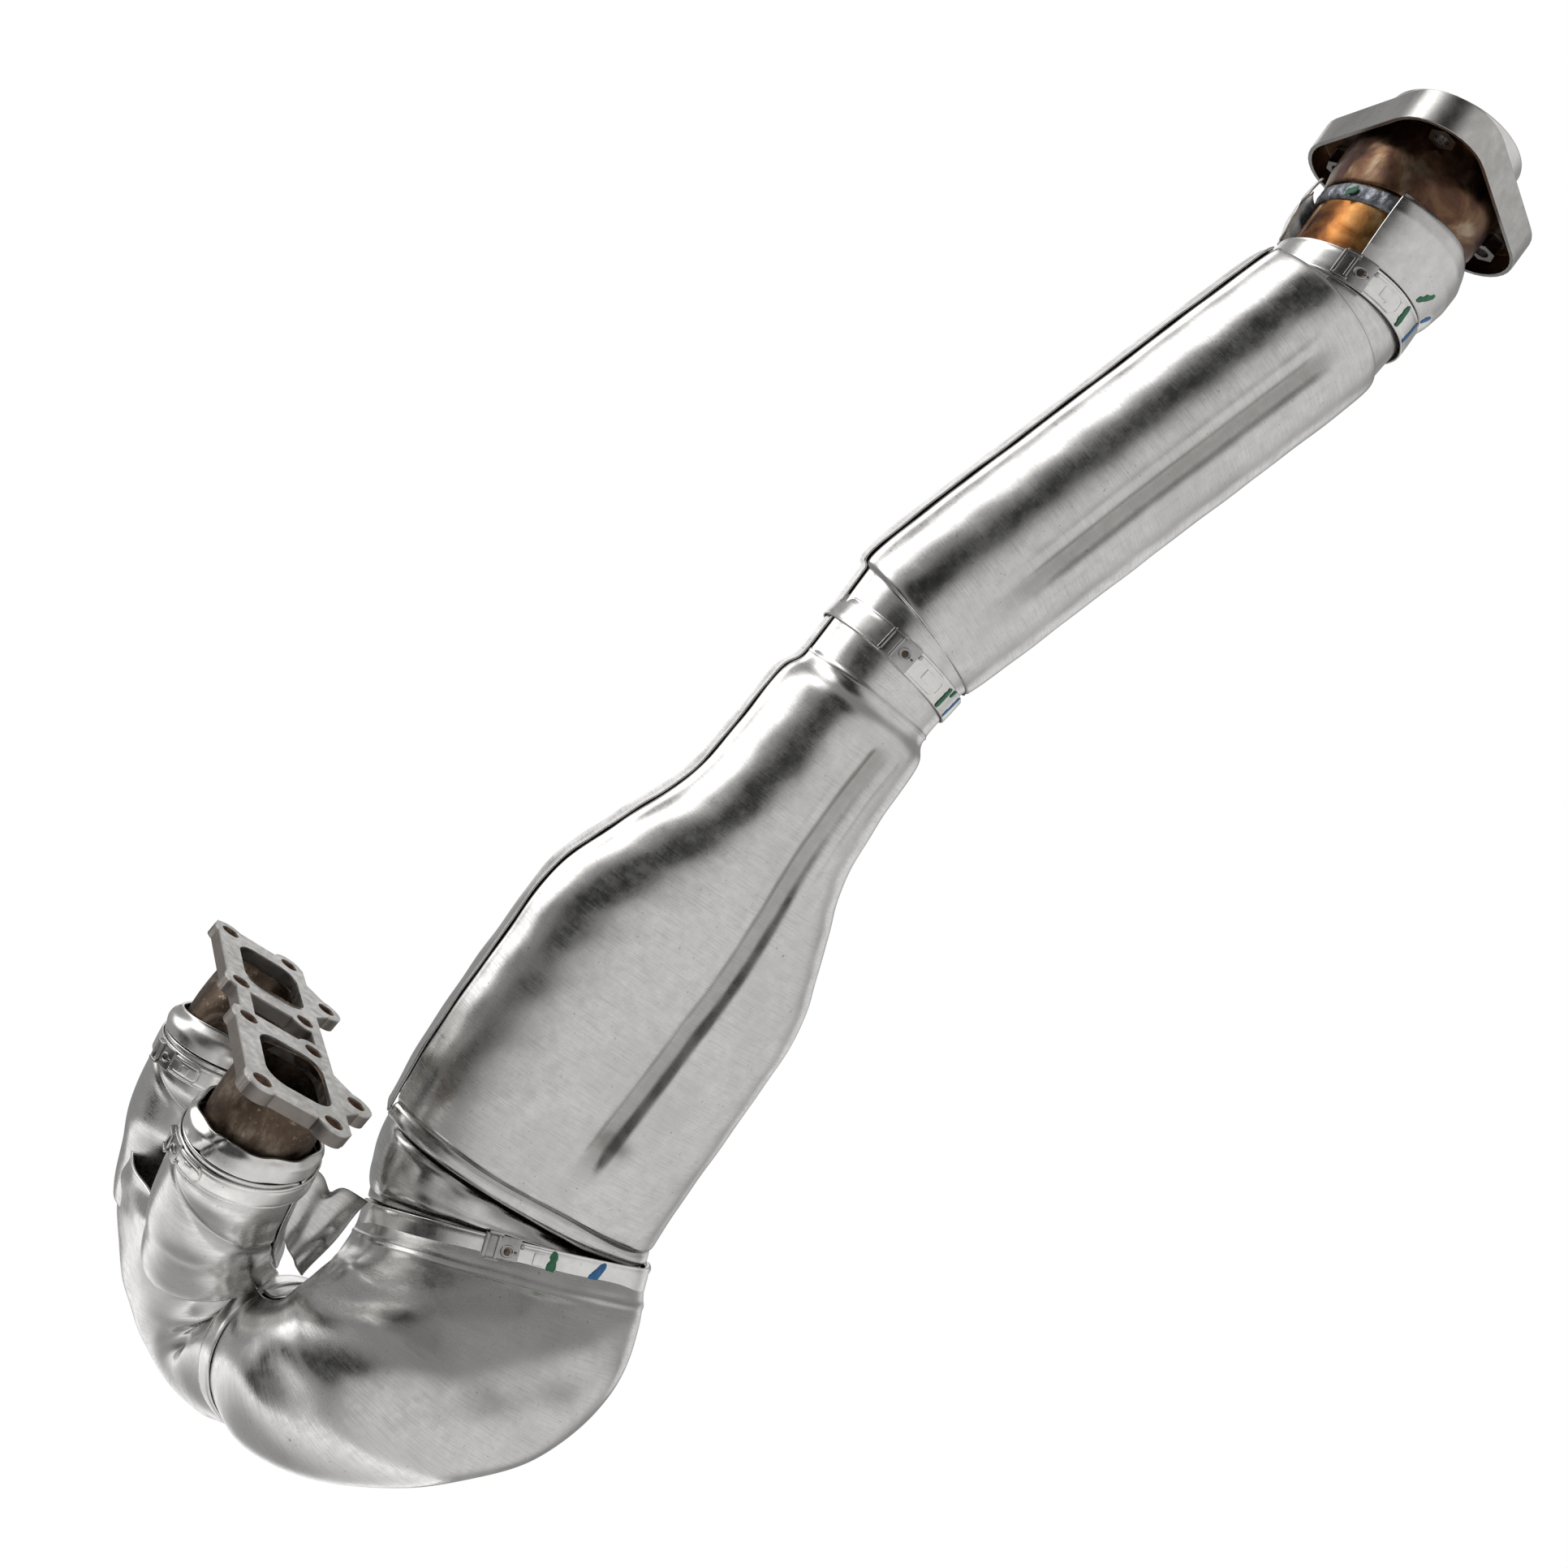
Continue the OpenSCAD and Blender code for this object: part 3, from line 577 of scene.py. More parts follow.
def soft_waves(aa, rr, height=0.25):
    return height * (np.sin(aa * 0.11 + 0.05 * rr) * np.sin(rr * 0.09 + 1.3)
                     + 0.6 * np.sin(aa * 0.23 - rr * 0.17 + 0.7))


def mid_front(u, th, aa, rr):
    line = [(0.3, 276.5), (2.48, 279), (4.4, 284), (6.63, 288.5), (8, 291)]
    groove = np.exp(-((aa - 7 - 0.6 * np.sin(rr * 0.08)) / 1.3) ** 2)
    lip = np.exp(-((aa - 2) / 2.2) ** 2)
    pressed, valley = rib(u, th, rr, line, 0.55, 7.0)
    d = edges(rr, 2.6, 0.9) + soft_waves(aa, rr, 0.14) + pressed
    d += lip * 0.9 - groove * 1.3
    crease = np.exp(-((u - 8.12) / 0.05) ** 2) * 0.5
    d += crease
    spots = [(1.15, 281.5, 0.10, 3, 0, 1), (5.9, 252, .15, 4, 30, .5)]
    # the second value is painted shade in the bottom groove, along the crease ring and in the rib valley,
    # plus two dark spots
    return d, groove * 0.7 + blob(u, th, spots) + crease * 0.7 + valley * 0.6


def upper_front(u, th, aa, rr):
    line = [(1.9, 284), (2.91, 280.5), (4.3, 280)]
    pressed, valley = rib(u, th, rr, line, 2.05, 4.05)
    d = edges(rr, 2.4, 0.8) + soft_waves(aa, rr, 0.10) + pressed
    ring = np.exp(-((u - 6.55) / 0.06) ** 2)
    # the second value is painted shade along the raised ring and in the rib valley
    return d + 0.5 * ring, ring * 0.5 + valley * 0.75


def elbow_front(u, th, aa, rr):
    spots = [(4.35, 284, .45, 13, 20, -1.8), (4.33, 262, .4, 12, 0, 1.2), (4.56, 224, .5, 11, -25, -1.4),
             (5.4, 277, .5, 12, 35, 1.0), (5.04, 305, .35, 9, 10, -1.2), (3.3, 305, .5, 14, 20, 1.2),
             (5.05, 205, .3, 9, 0, 1.0), (2.42, 249, .5, 18, 0, -1.2), (1.2, 280, .5, 22, 30, 0.9),
             (6.3, 286, .16, 26, 0, -0.9)]
    lip = np.exp(-((u - 6.35) / .07) ** 2)
    d = edges(rr, 2.4, 0.9) + soft_waves(aa, rr, 0.25) + 1.5 * blob(u, th, spots) + 0.6 * lip
    # the second value is painted shade in two of the dents and along the lip
    return d, blob(u, th, [(4.4, 285, .16, 5, 0, .5), (2.2, 250, .2, 6, 0, .4)]) + lip * 0.3


def back_half(_u, _th, aa, rr):
    # the second value is painted shade along the seam edge
    return edges(rr, 3.0, 0.8) + soft_waves(aa, rr, 0.2), 0.25 * np.exp(-(rr / 3) ** 2)


def limb_front(u, th, _aa, rr):
    spots = [(2.25, 30, .16, 26, 20, 1.2), (2.55, 10, .14, 30, 30, -1.3), (2.9, 40, .18, 24, -20, 1.1),
             (3.2, 5, .16, 24, 25, -1.0), (2.0, 70, .12, 20, 0, -0.8)]
    fold = np.exp(-((u - 2.42 + (th - 40) * .006) / .05) ** 2)
    flare = smooth(3.25, 3.8, u) * 2.4
    # the second value is painted shade in the fold
    return edges(rr, 2, 0.6) + blob(u, th, spots) - 1.0 * fold + flare, fold * 0.5


def merge_front(u, th, aa, rr):
    spots = [(.8, 20, .35, 18, 30, 1.4), (1.3, 0, .3, 16, 20, -1.6), (2.0, 30, .4, 18, -30, 1.3),
             (2.7, 10, .35, 16, 10, -1.3), (3.5, 62, .22, 9, 0, -3.2), (4.2, 40, .3, 16, 0, 1.0)]
    # painted shade in the deep dent
    hole_shade = np.exp(-((u - 3.5) / .2) ** 2 - ((th - 62) / 7) ** 2)
    hug = -3.2 * np.exp(-(aa / 7) ** 2) * (1 + .25 * np.sin(rr * .16))
    return edges(rr, 2, 0.6) + blob(u, th, spots) + soft_waves(aa, rr, .3) + hug, np.clip(hole_shade * 1.6, 0, 1)


def bead_shape(u, _th, _aa, rr):
    ring = np.exp(-((u - 1.1) / .35) ** 2) - 0.7 * np.exp(-((u - .55) / .14) ** 2)
    wave = 0.35 * np.sin(rr * 0.21) * np.sin(rr * 0.083 + 1)
    # the second value is painted shade in the groove
    return ring * 0.7 + wave, np.exp(-((u - .55) / .14) ** 2) * 0.6


def collar_far_shape(_u, _th, aa, rr):
    top = 1 - smooth(0, 5, aa)
    belly = np.exp(-((aa - 6) / 3.2) ** 2)
    # the second value is painted shade along the pressed-in top edge
    return -2.2 * top * top + belly * 0.9 + 0.3 * np.sin(rr * .3) * top, top * 0.3


def collar_near_shape(_u, th, aa, _rr):
    top = 1 - smooth(0, 4, aa)
    crease = np.exp(-((th - 40 - aa * 1.5) / 3.5) ** 2)
    pinch = np.exp(-((th - 345) / 12) ** 2) + np.exp(-((th + 15) / 12) ** 2)
    wave = np.sin(np.radians(th) * 9) * 0.6 * top
    # the second value is painted shade in the crease and along the pressed-in top edge
    return -1.8 * top * top + wave - 1.1 * crease - pinch * .8, crease * 0.8 + top * .2


def make_shields():
    steel = (SHIELD, "shield_steel")
    sheet_piece("mid_shield_front.skin", MID, 0, 9, 194.5, 359, 420, 170, *steel,
                ["mid_shield_front"], mid_front)
    sheet_piece("mid_shield_back.skin", MID, 0, 9, 2, 190.5, 200, 100, *steel,
                ["mid_shield_back"], back_half, grow=0.4)
    sheet_piece("upper_shield_front.skin", UPPER, 0, 7, 195.5, 359, 340, 140, *steel,
                ["upper_shield_front"], upper_front)
    sheet_piece("upper_shield_back.skin", UPPER, 0, 7, 2, 190.5, 160, 80, *steel,
                ["upper_shield_back"], back_half, grow=0.4)
    sheet_piece("elbow_shield_front.skin", ELBOW, .15, 6.9, 185, 362, 300, 150, *steel,
                ["elbow_shield_front"], elbow_front)
    sheet_piece("elbow_shield_back.skin", ELBOW, .15, 6.9, 5, 182, 160, 80, *steel,
                ["elbow_shield_back"], back_half)
    sheet_piece("elbow_neck_bead.skin", BEAD, .25, 4, 0, 360, 60, 200, *steel,
                ["elbow_neck_bead"], bead_shape)
    for side, path in (("far", FAR), ("near", NEAR)):
        sheet_piece(f"limb_shield_{side}_front.skin", path, 1.75, 3.85, -43, 133, 110, 90, *steel,
                    [f"limb_shield_{side}_front"], limb_front, grow=SKIN)
        sheet_piece(f"limb_shield_{side}_back.skin", path, 1.75, 3.85, 137, 313, 70, 60, *steel,
                    [f"limb_shield_{side}_back"], back_half, grow=SKIN)
        sheet_piece(f"primary_pipe_{side}.skin", path, -0.2, 4, 0, 360, 120, 96, DARK, "dark_pipe",
                    [f"primary_pipe_{side}"], None, 1.5)
    sheet_piece("collar_far.skin", FAR, 1.15, 1.72, 0, 360, 40, 120, BAND, "band_steel",
                ["collar_far"], collar_far_shape, grow=SKIN)
    sheet_piece("collar_near.skin", NEAR, 1.15, 1.72, 0, 360, 40, 120, BAND, "band_steel",
                ["collar_near"], collar_near_shape, grow=SKIN)
    sheet_piece("merge_shield_front.skin", MERGE, -.55, 4.8, -43, 133, 190, 120, *steel,
                ["merge_shield_front"], merge_front)
    sheet_piece("merge_shield_back.skin", MERGE, .06, 4.8, 137, 313, 120, 90, *steel,
                ["merge_shield_back"], back_half)


def make_web():
    """The small plate between the near limb and the elbow, with a torn notch in one edge."""
    a, b, c, d = (np.array(k, float) for k in
                  ((20, 33, -40), (8, 75, -47), (28, 62, -80), (29, 43, -68)))
    n = 60
    s, t = np.meshgrid(np.linspace(0, 1, n), np.linspace(0, 1, n), indexing="ij")
    s, t = s[..., None], t[..., None]
    p = (1 - s) * ((1 - t) * a + t * b) + s * ((1 - t) * d + t * c)
    normal = unit(np.cross(b - a, d - a))
    lift = 1.2 * np.sin(s * 5 + t * 2) * s * (1 - s) * 4 + .5 * np.sin(t * 14 + s * 3)
    p = p + normal * lift
    notch = np.exp(-((t - .45) / .12) ** 2) * (1 - smooth(0, .3, s))
    p = p + unit(d - a) * notch * 5
    uv = np.concatenate([s * 36, t * 40], -1)
    # painted shade along the edge against its neighbours and in the notch
    shade_and_spots = np.clip(np.exp(-(s[..., 0] / .06) ** 2) + notch[..., 0] * .5, 0, 1)
    obj = grid_object("web_panel.skin", p, uv, False, shade_and_spots)
    wall(obj, 1.0)
    obj.data.materials.append(SHIELD)
    adopt(obj, "shield_steel", ["web_panel"])


# ---- Clamps: flat bands with rolled edges, an overlapping end and a keyhole buckle ----


class Ring:
    """A round clamp line of radius r: place(angle, along, out) gives a point in mm."""

    def __init__(self, origin, axis, r):
        self.r = r
        self.o = Vector(origin)
        self.turn = Vector((0, 0, 1)).rotation_difference(Vector(axis).normalized()).to_matrix()

    def place(self, deg, along, out):
        a = math.radians(deg)
        q = self.r + out
        return self.o + self.turn @ Vector((q * math.cos(a), q * math.sin(a), along))

    def mm(self, deg0, x):
        """The angle that lies x mm further round than deg0."""
        return deg0 + math.degrees(x / self.r)


class Oval:
    """The same for the oval neck, with the angle as the section's own parameter."""

    def __init__(self, path, u):
        self.th = np.linspace(-180, 540, 1441)
        p, n, s = surface(path, [u - .02, u, u + .02], self.th)
        self.p, self.n, self.t = p[1], n[1], unit(s[1, 3:6])
        step = np.linalg.norm(np.diff(self.p, axis=0), axis=1)
        self.arc = np.concatenate([[0], np.cumsum(step)])

    def place(self, deg, along, out):
        while deg >= 539:
            deg -= 360
        k = (deg + 180) * 2
        i = int(min(max(k, 0), 1439))
        f = k - i
        p = self.p[i] * (1 - f) + self.p[i + 1] * f
        n = self.n[i] * (1 - f) + self.n[i + 1] * f
        return Vector(p + n * out + self.t * along)

    def mm(self, deg0, x):
        return float(np.interp(np.interp(deg0, self.th, self.arc) + x, self.arc, self.th))


def band_profile(w, thick, base=0.05):
    """Closed outline of a band's section as (along, out): rounded edges, a fine pressed line near each."""
    h = w / 2
    crown = [(0, thick + .12), (h * .45, thick + .1)]
    line = [(h - 1.5, thick + .04), (h - 1.15, thick - .14), (h - .8, thick + .06)]
    edge = [(h - .35, thick), (h - .08, thick - .25), (h, thick * .5), (h - .1, base + .1), (h - .4, base)]
    half = crown + line + edge
    return half + [(-x, y) for x, y in reversed(half[1:])]


def swept_band(name, ring, d0, d1, n, width, thick, lift, mat, slot, covers=(), taper=0.0):
    """A band from d0 to d1 degrees round a clamp line; a full turn closes on itself."""
    closed = abs(d1 - d0) >= 359.9
    prof = band_profile(width, thick)
    rows = []
    count = n if closed else n + 1
    for i in range(count):
        deg = d0 + (d1 - d0) * i / n
        left = (n - i) / n
        k = 1 - taper * (1 - min(1, left / .12)) ** 2 if taper else 1
        ripple = .05 * math.sin(i * .37) + .04 * math.sin(i * .13 + 2)
        rows.append([ring.place(deg, x * k, y + lift + ripple) for x, y in prof])
    bm = bmesh.new()
    verts = [[bm.verts.new(v * MM) for v in row] for row in rows]
    m = len(prof)
    for i in range(count if closed else count - 1):
        a, b = verts[i], verts[(i + 1) % count]
        for j in range(m):
            bm.faces.new((a[j], a[(j + 1) % m], b[(j + 1) % m], b[j]))
    if not closed:
        bm.faces.new(verts[0])
        bm.faces.new(list(reversed(verts[-1])))
    return bm_piece(name, bm, mat, slot, covers)


def bm_piece(name, bm, mat, slot, covers=()):
    """Turns a finished bmesh into a smooth shaded piece."""
    bmesh.ops.recalc_face_normals(bm, faces=bm.faces)
    mesh = bpy.data.meshes.new(name)
    bm.to_mesh(mesh)
    bm.free()
    mesh.polygons.foreach_set("use_smooth", [True] * len(mesh.polygons))
    obj = bpy.data.objects.new(name, mesh)
    bpy.context.scene.collection.objects.link(obj)
    mesh.materials.append(mat)
    return adopt(obj, slot, covers)


def soft_block(bm, place, x0, x1, y0, y1, z0, z1, edge=.25, cuts=1):
    """Rounded block in (round, along, out) mm, bent onto a clamp line by place(x, y, z)."""
    part = bmesh.new()
    bmesh.ops.create_cube(part, size=1)
    for v in part.verts:
        v.co = Vector((x0 + (v.co.x + .5) * (x1 - x0), y0 + (v.co.y + .5) * (y1 - y0),
                       z0 + (v.co.z + .5) * (z1 - z0)))
    bmesh.ops.bevel(part, geom=list(part.edges), offset=edge, segments=3, profile=.5, affect="EDGES")
    for k in range(1, cuts + 1):
        x = x0 + (x1 - x0) * k / (cuts + 1)
        geom = list(part.verts) + list(part.edges) + list(part.faces)
        bmesh.ops.bisect_plane(part, geom=geom, plane_co=(x, 0, 0), plane_no=(1, 0, 0))
    keep = {}
    for v in part.verts:
        keep[v] = bm.verts.new(place(v.co.x, v.co.y, v.co.z) * MM)
    for f in part.faces:
        bm.faces.new([keep[v] for v in f.verts])
    part.free()


def soft_loop(bm, place, cx, cy, rx, ry, z, tube, n=28, m=10):
    """An oval eyelet lying on a clamp line."""
    rows = []
    for i in range(n):
        a = 2 * math.pi * i / n
        row = []
        for j in range(m):
            b = 2 * math.pi * j / m
            q = tube * math.cos(b)
            x, y = cx + (rx + q) * math.cos(a), cy + (ry + q) * math.sin(a)
            row.append(bm.verts.new(place(x, y, z + tube * .8 * math.sin(b)) * MM))
        rows.append(row)
    for i in range(n):
        a, b = rows[i], rows[(i + 1) % n]
        for j in range(m):
            bm.faces.new((a[j], a[(j + 1) % m], b[(j + 1) % m], b[j]))


def soft_dome(bm, place, cx, cy, r, z, height, n=20, m=5):
    """A low domed button."""
    top = bm.verts.new(place(cx, cy, z + height) * MM)
    last = None
    for j in range(1, m + 1):
        q = j / m
        h = z + height * math.sqrt(max(0.0, 1 - q * q)) - (0.25 if j == m else 0)
        row = [bm.verts.new(place(cx + r * q * math.cos(2 * math.pi * i / n),
                                  cy + r * q * math.sin(2 * math.pi * i / n), h) * MM) for i in range(n)]
        for i in range(n):
            k = (i + 1) % n
            if last is None:
                bm.faces.new((top, row[i], row[k]))
            else:
                bm.faces.new((last[i], row[i], row[k], last[k]))
        last = row


def clamp(name, ring, w, at, lift, way=1):
    """Band, overlapping end and buckle round one clamp line, w wide, with its buckle at the angle at."""
    swept_band(f"band_{name}.strap", ring, at, at + 360, 220, w, BAND_T, lift, BAND, "band_steel",
               [f"band_{name}"])
    tongue_end = ring.mm(at, way * w * 1.9)
    swept_band(f"band_{name}.end", ring, at, tongue_end, 40, w * .8, .7, lift + .95, BAND,
               "band_steel", (), .55)

    def place(x, y, z):
        return ring.place(ring.mm(at, x * way), y, z + lift + .95)

    bm = bmesh.new()
    soft_block(bm, place, -w * .60, w * .55, -w * .5, w * .5, .05, 1.25, .35, 6)
    for side in (-1, 1):
        y = side * (w * .5 - .7)
        soft_block(bm, place, -w * .60, -w * .10, y - .6, y + .6, 1.0, 3.0, .3, 3)
    soft_block(bm, place, -w * .70, -w * .56, -w * .46, w * .46, .1, 2.0, .4, 1)
    soft_block(bm, place, -w * .28, -w * .16, -w * .42, w * .42, 1.1, 2.1, .35, 1)
    bm_piece(f"buckle_{name}.plate", bm, PLATE, "band_steel", [f"buckle_{name}"])
    bm = bmesh.new()
    soft_loop(bm, place, w * .14, 0, w * .20, w * .17, 1.45, .55)
    soft_block(bm, place, w * .30, w * .50, -.55, .55, 1.1, 1.75, .25, 1)
    soft_dome(bm, place, w * .60, w * .28, w * .09, 1.0, .7)
    bm_piece(f"buckle_{name}.loop", bm, PLATE, "band_steel")
    # a dark dome and a thin dark strip lie on the solid plate: painted shade for the keyhole and the slot
    bm = bmesh.new()
    soft_dome(bm, place, w * .14, 0, w * .15, 1.15, .18)
    soft_block(bm, place, w * .28, w * .46, -.35, .35, 1.7, 1.82, .05, 1)
    bm_piece(f"buckle_{name}.hole", bm, DARK, "dark_pipe")
    bm = bmesh.new()
    soft_block(bm, place, w * 1.05, w * 1.45, -w * .2, w * .2, .5, 1.15, .3, 2)
    bm_piece(f"band_{name}.dimple", bm, BAND, "band_steel")


def make_clamps():
    """The six strap clamps. Their buckles sit close to the CAD's, apart from the two on the limbs."""
    far, near = FAR[2], NEAR[2]
    clamp("far", Ring(far[0], far[1], LIMB_BAND_R), NARROW_BAND, 46, 0, -1)
    clamp("near", Ring(near[0], near[1], LIMB_BAND_R), NARROW_BAND, 139, 0, -1)
    joint = ELBOW[0]
    clamp("collector", Ring(joint[0], joint[1], JOINT_BAND_R), WIDE_BAND, 120, 0)
    clamp("mid", Ring(MID_PLACE, MID_AXIS, NECK_R), WIDE_BAND, -28, 0)
    clamp("top", Ring(OUT_PLACE, OUT_AXIS, NECK_R), WIDE_BAND, -38, 0)
    clamp("oval", Oval(ELBOW, 6.8), WIDE_BAND, 268, .3)


# ---- Machined parts ----


def refined(node, name, mat, slot, edge, segments=3, inner=None):
    """A clean copy of a CAD node with its flat faces merged and its sharp edges rounded.

    inner is (material, test): faces for which test(centre, normal) holds take that material.
    """
    bm = bmesh.new()
    bm.from_mesh(nodes[node].data)
    bmesh.ops.remove_doubles(bm, verts=bm.verts, dist=1e-6)
    bmesh.ops.dissolve_limit(bm, angle_limit=math.radians(1), verts=bm.verts, edges=bm.edges)
    if inner:
        for f in bm.faces:
            f.material_index = 1 if inner[1](f.calc_center_median(), f.normal) else 0
    mesh = bpy.data.meshes.new(name)
    bm.to_mesh(mesh)
    bm.free()
    obj = bpy.data.objects.new(name, mesh)
    obj.matrix_world = nodes[node].matrix_world.copy()
    bpy.context.scene.collection.objects.link(obj)
    mesh.polygons.foreach_set("use_smooth", [True] * len(mesh.polygons))
    mesh.materials.append(mat)
    if inner:
        mesh.materials.append(inner[0])
    mod = obj.modifiers.new("edge", "BEVEL")
    mod.width = edge * MM
    mod.segments = segments
    mod.limit_method = "ANGLE"
    mod.angle_limit = math.radians(32)
    mod.harden_normals = True
    tri = obj.modifiers.new("weighted", "WEIGHTED_NORMAL")
    tri.keep_sharp = True
    return adopt(obj, slot, [node])


STUD_X = [69.75, 16.75, 72.65, 13.85, 43.25]
STUD_Y = [-24.1, -24.1, 8.0, 8.0, 24.1]


def lathe(name, frame_ring, profile, n, mat, slot, covers=(), d0=0, d1=360, wobble=None):
    """A turned part from (radius, along) points; wobble(deg, along) moves it outwards."""
    full = abs(d1 - d0) >= 359.9
    bm = bmesh.new()
    rows = []
    count = n if full else n + 1
    for i in range(count):
        deg = d0 + (d1 - d0) * i / n
        row = []
        for r, z in profile:
            w = wobble(deg, z) if wobble else 0
            row.append(bm.verts.new(frame_ring.place(deg, z, r + w) * MM))
        rows.append(row)
    m = len(profile)
    for i in range(count if full else count - 1):
        a, b = rows[i], rows[(i + 1) % count]
        for j in range(m):
            k = (j + 1) % m
            bm.faces.new((a[j], a[k], b[k], b[j]))
    if not full:
        bm.faces.new(rows[0])
        bm.faces.new(list(reversed(rows[-1])))
    return bm_piece(name, bm, mat, slot, covers)


def rounded(points, step=.35, passes=2):
    """A closed outline, first filled in with points and then softened at its corners."""
    q = []
    n = len(points)
    for i in range(n):
        a, b = Vector(points[i]), Vector(points[(i + 1) % n])
        k = max(1, int((b - a).length / step))
        q += [tuple(a.lerp(b, j / k)) for j in range(k)]
    for _ in range(passes):
        q = [tuple((Vector(q[i - 1]) + Vector(q[i]) * 2 + Vector(q[(i + 1) % len(q)])) / 4)
             for i in range(len(q))]
    return q


def make_flange():
    refined("head_flange", "head_flange.plate", FLANGE, "flange_steel", .45, 3)
    for side in (-1, 1):
        for k, (x, y) in enumerate(zip(STUD_X, STUD_Y)):
            ring = Ring((side * x, y, 0), (0, 0, 1), 0)
            teeth = [(4.2 if j % 2 else 3.85, -5.6 + j * .5) for j in range(11)]
            outline = teeth + [(4.5, -.6), (4.5, -5.6)]
            label = "far" if side < 0 else "near"
            lathe(f"head_flange.thread_{label}_{k}", ring, outline, 28, RUST, "dark_pipe")


def make_outlet():
    ring = Ring(OUT_PLACE, OUT_AXIS, 0)

    def beads(deg, z):
        return .28 * math.sin(math.radians(deg * 34)) * math.cos((z - 34) * .45) + .2 * math.sin(deg * .21)

    def dents(deg, z):
        a = math.radians(deg)
        return .25 * math.sin(3 * a + z * .2) + .18 * math.sin(5 * a - z * .33)

    bore = NECK_PIPE_R - 1.5
    neck = [(bore, 7), (NECK_PIPE_R, 7), (NECK_PIPE_R, 42), (bore, 42)]
    spigot = [(bore, 42.1), (NECK_PIPE_R, 42.1), (NECK_PIPE_R, 74)]
    spigot += [(SPIGOT_R, 74.4), (SPIGOT_R, 88), (bore, 88)]
    lathe("outlet_pipe.neck", ring, rounded(neck, .8, 1), 144,
          COPPER, "tinted_steel", ["outlet_pipe"])
    weld = [(NECK_PIPE_R, 29.5), (34.1, 30.8), (34.7, 34), (34.1, 37.2), (NECK_PIPE_R, 38.4)]
    lathe("outlet_weld.bead", ring, rounded(weld, .5), 360, WELD, "dark_pipe", ["outlet_weld"], wobble=beads)
    bell = [(32.45, 38.1), (34, 38.1), (35.2, 42.5), (36.8, 48), (37, 55), (36.4, 62), (36.6, 70.2),
            (34.8, 70.2), (34.6, 62), (35.2, 55), (35, 48.4), (33.6, 43.5), (32.45, 40.4)]
    lathe("outlet_bell.skin", ring, rounded(bell, .8, 3), 180, TINT, "tinted_steel", ["outlet_bell"],
          wobble=dents)
    lathe("outlet_spigot.tube", ring, rounded(spigot, .4, 2), 180, BAND, "shield_steel", ["outlet_spigot"])

    # faces inside the cup take the dark tinted steel: partly heat tint, partly painted shade in the cup's
    # hollow
    def in_cup(centre, normal):
        arm = centre / MM - OUT_PLACE
        t = arm.dot(OUT_AXIS)
        sideways = (arm - OUT_AXIS * t).normalized()
        return t < 70.9 and (normal.dot(sideways) < -.3 or normal.dot(OUT_AXIS) < -.6 and t > 69)

    refined("outlet_flange", "outlet_flange.plate", CUP, "shield_steel", .35, 3, (TINT, in_cup))
    refined("outlet_nuts", "outlet_nuts.hex", CHROME, "band_steel", .3, 2)
    tail = [(35.2, 6.8), (38, 13), (39.9, 21), (40.2, 29), (39, 35), (37.6, 38.2),
            (38.2, 39.2), (39.8, 36), (41.3, 29.4), (41, 20.7), (39, 12.4), (36.2, 6.6)]

    def ruffle(deg, z):
        k = smooth(26, 38, z)
        return float(.55 * math.sin(math.radians(deg * 7)) * k + .2 * math.sin(math.radians(deg * 3 + 20)))

    lathe("tail_shield_front.skin", ring, rounded(tail, .6, 2), 160, SHIELD, "shield_steel",
          ["tail_shield_front"], -42, 95, ruffle)
    lathe("tail_shield_back.skin", ring, rounded(tail, .6, 2), 120, SHIELD, "shield_steel",
          ["tail_shield_back"], 100, 225, ruffle)
    n, m = 34, 8
    flap = np.zeros((n, m, 3))
    for i in range(n):
        for j in range(m):
            deg = 226 + j * 1.7 + 3 * math.sin(i * .2) + i * .35
            out = 37.5 + 2.6 * math.sin(i / n * 2.6) + .3 * math.sin(j * 1.3 + i * .6)
            flap[i, j] = ring.place(deg, 9 + i * .88, out)
    uv = np.stack(np.meshgrid(np.arange(n), np.arange(m), indexing="ij"), -1).astype(float)
    obj = grid_object("tail_shield_back.flap", flap, uv, False, np.zeros((n, m)))
    wall(obj, .9)
    obj.data.materials.append(SHIELD)
    adopt(obj, "shield_steel")


# ---- Paint marks, thin films lying on the surface ----


def film(name, place, start, end, wide, mat, seed, lift=.12):
    """A hand-painted stroke between two surface points (round in mm or degrees, along in mm)."""
    rng = np.random.default_rng(seed)
    n, m = 30, 9
    p = np.zeros((n, m, 3))
    a, b = np.array(start, float), np.array(end, float)
    ahead = (b - a) / max(1e-6, np.linalg.norm(b - a))
    across = np.array([-ahead[1], ahead[0]])
    rag = np.convolve(rng.normal(0, 1, n + 4), np.ones(5) / 5, "valid")[:n]
    for i in range(n):
        q = i / (n - 1)
        half = wide / 2 * math.sqrt(max(.02, 1 - (2 * q - 1) ** 4)) * (1 + .25 * rag[i])
        for j in range(m):
            s = 2 * j / (m - 1) - 1
            x, y = a + (b - a) * q + across * (half * s + .2 * rag[i])
            out = lift * math.sqrt(max(0.0, 1 - s * s)) + .02
            p[i, j] = place(x, y, out)
    uv = np.stack(np.meshgrid(np.arange(n), np.arange(m), indexing="ij"), -1).astype(float)
    obj = grid_object(name, p, uv, False, None)
    wall(obj, .1)
    obj.data.materials.append(mat)
    adopt(obj, "shield_steel")


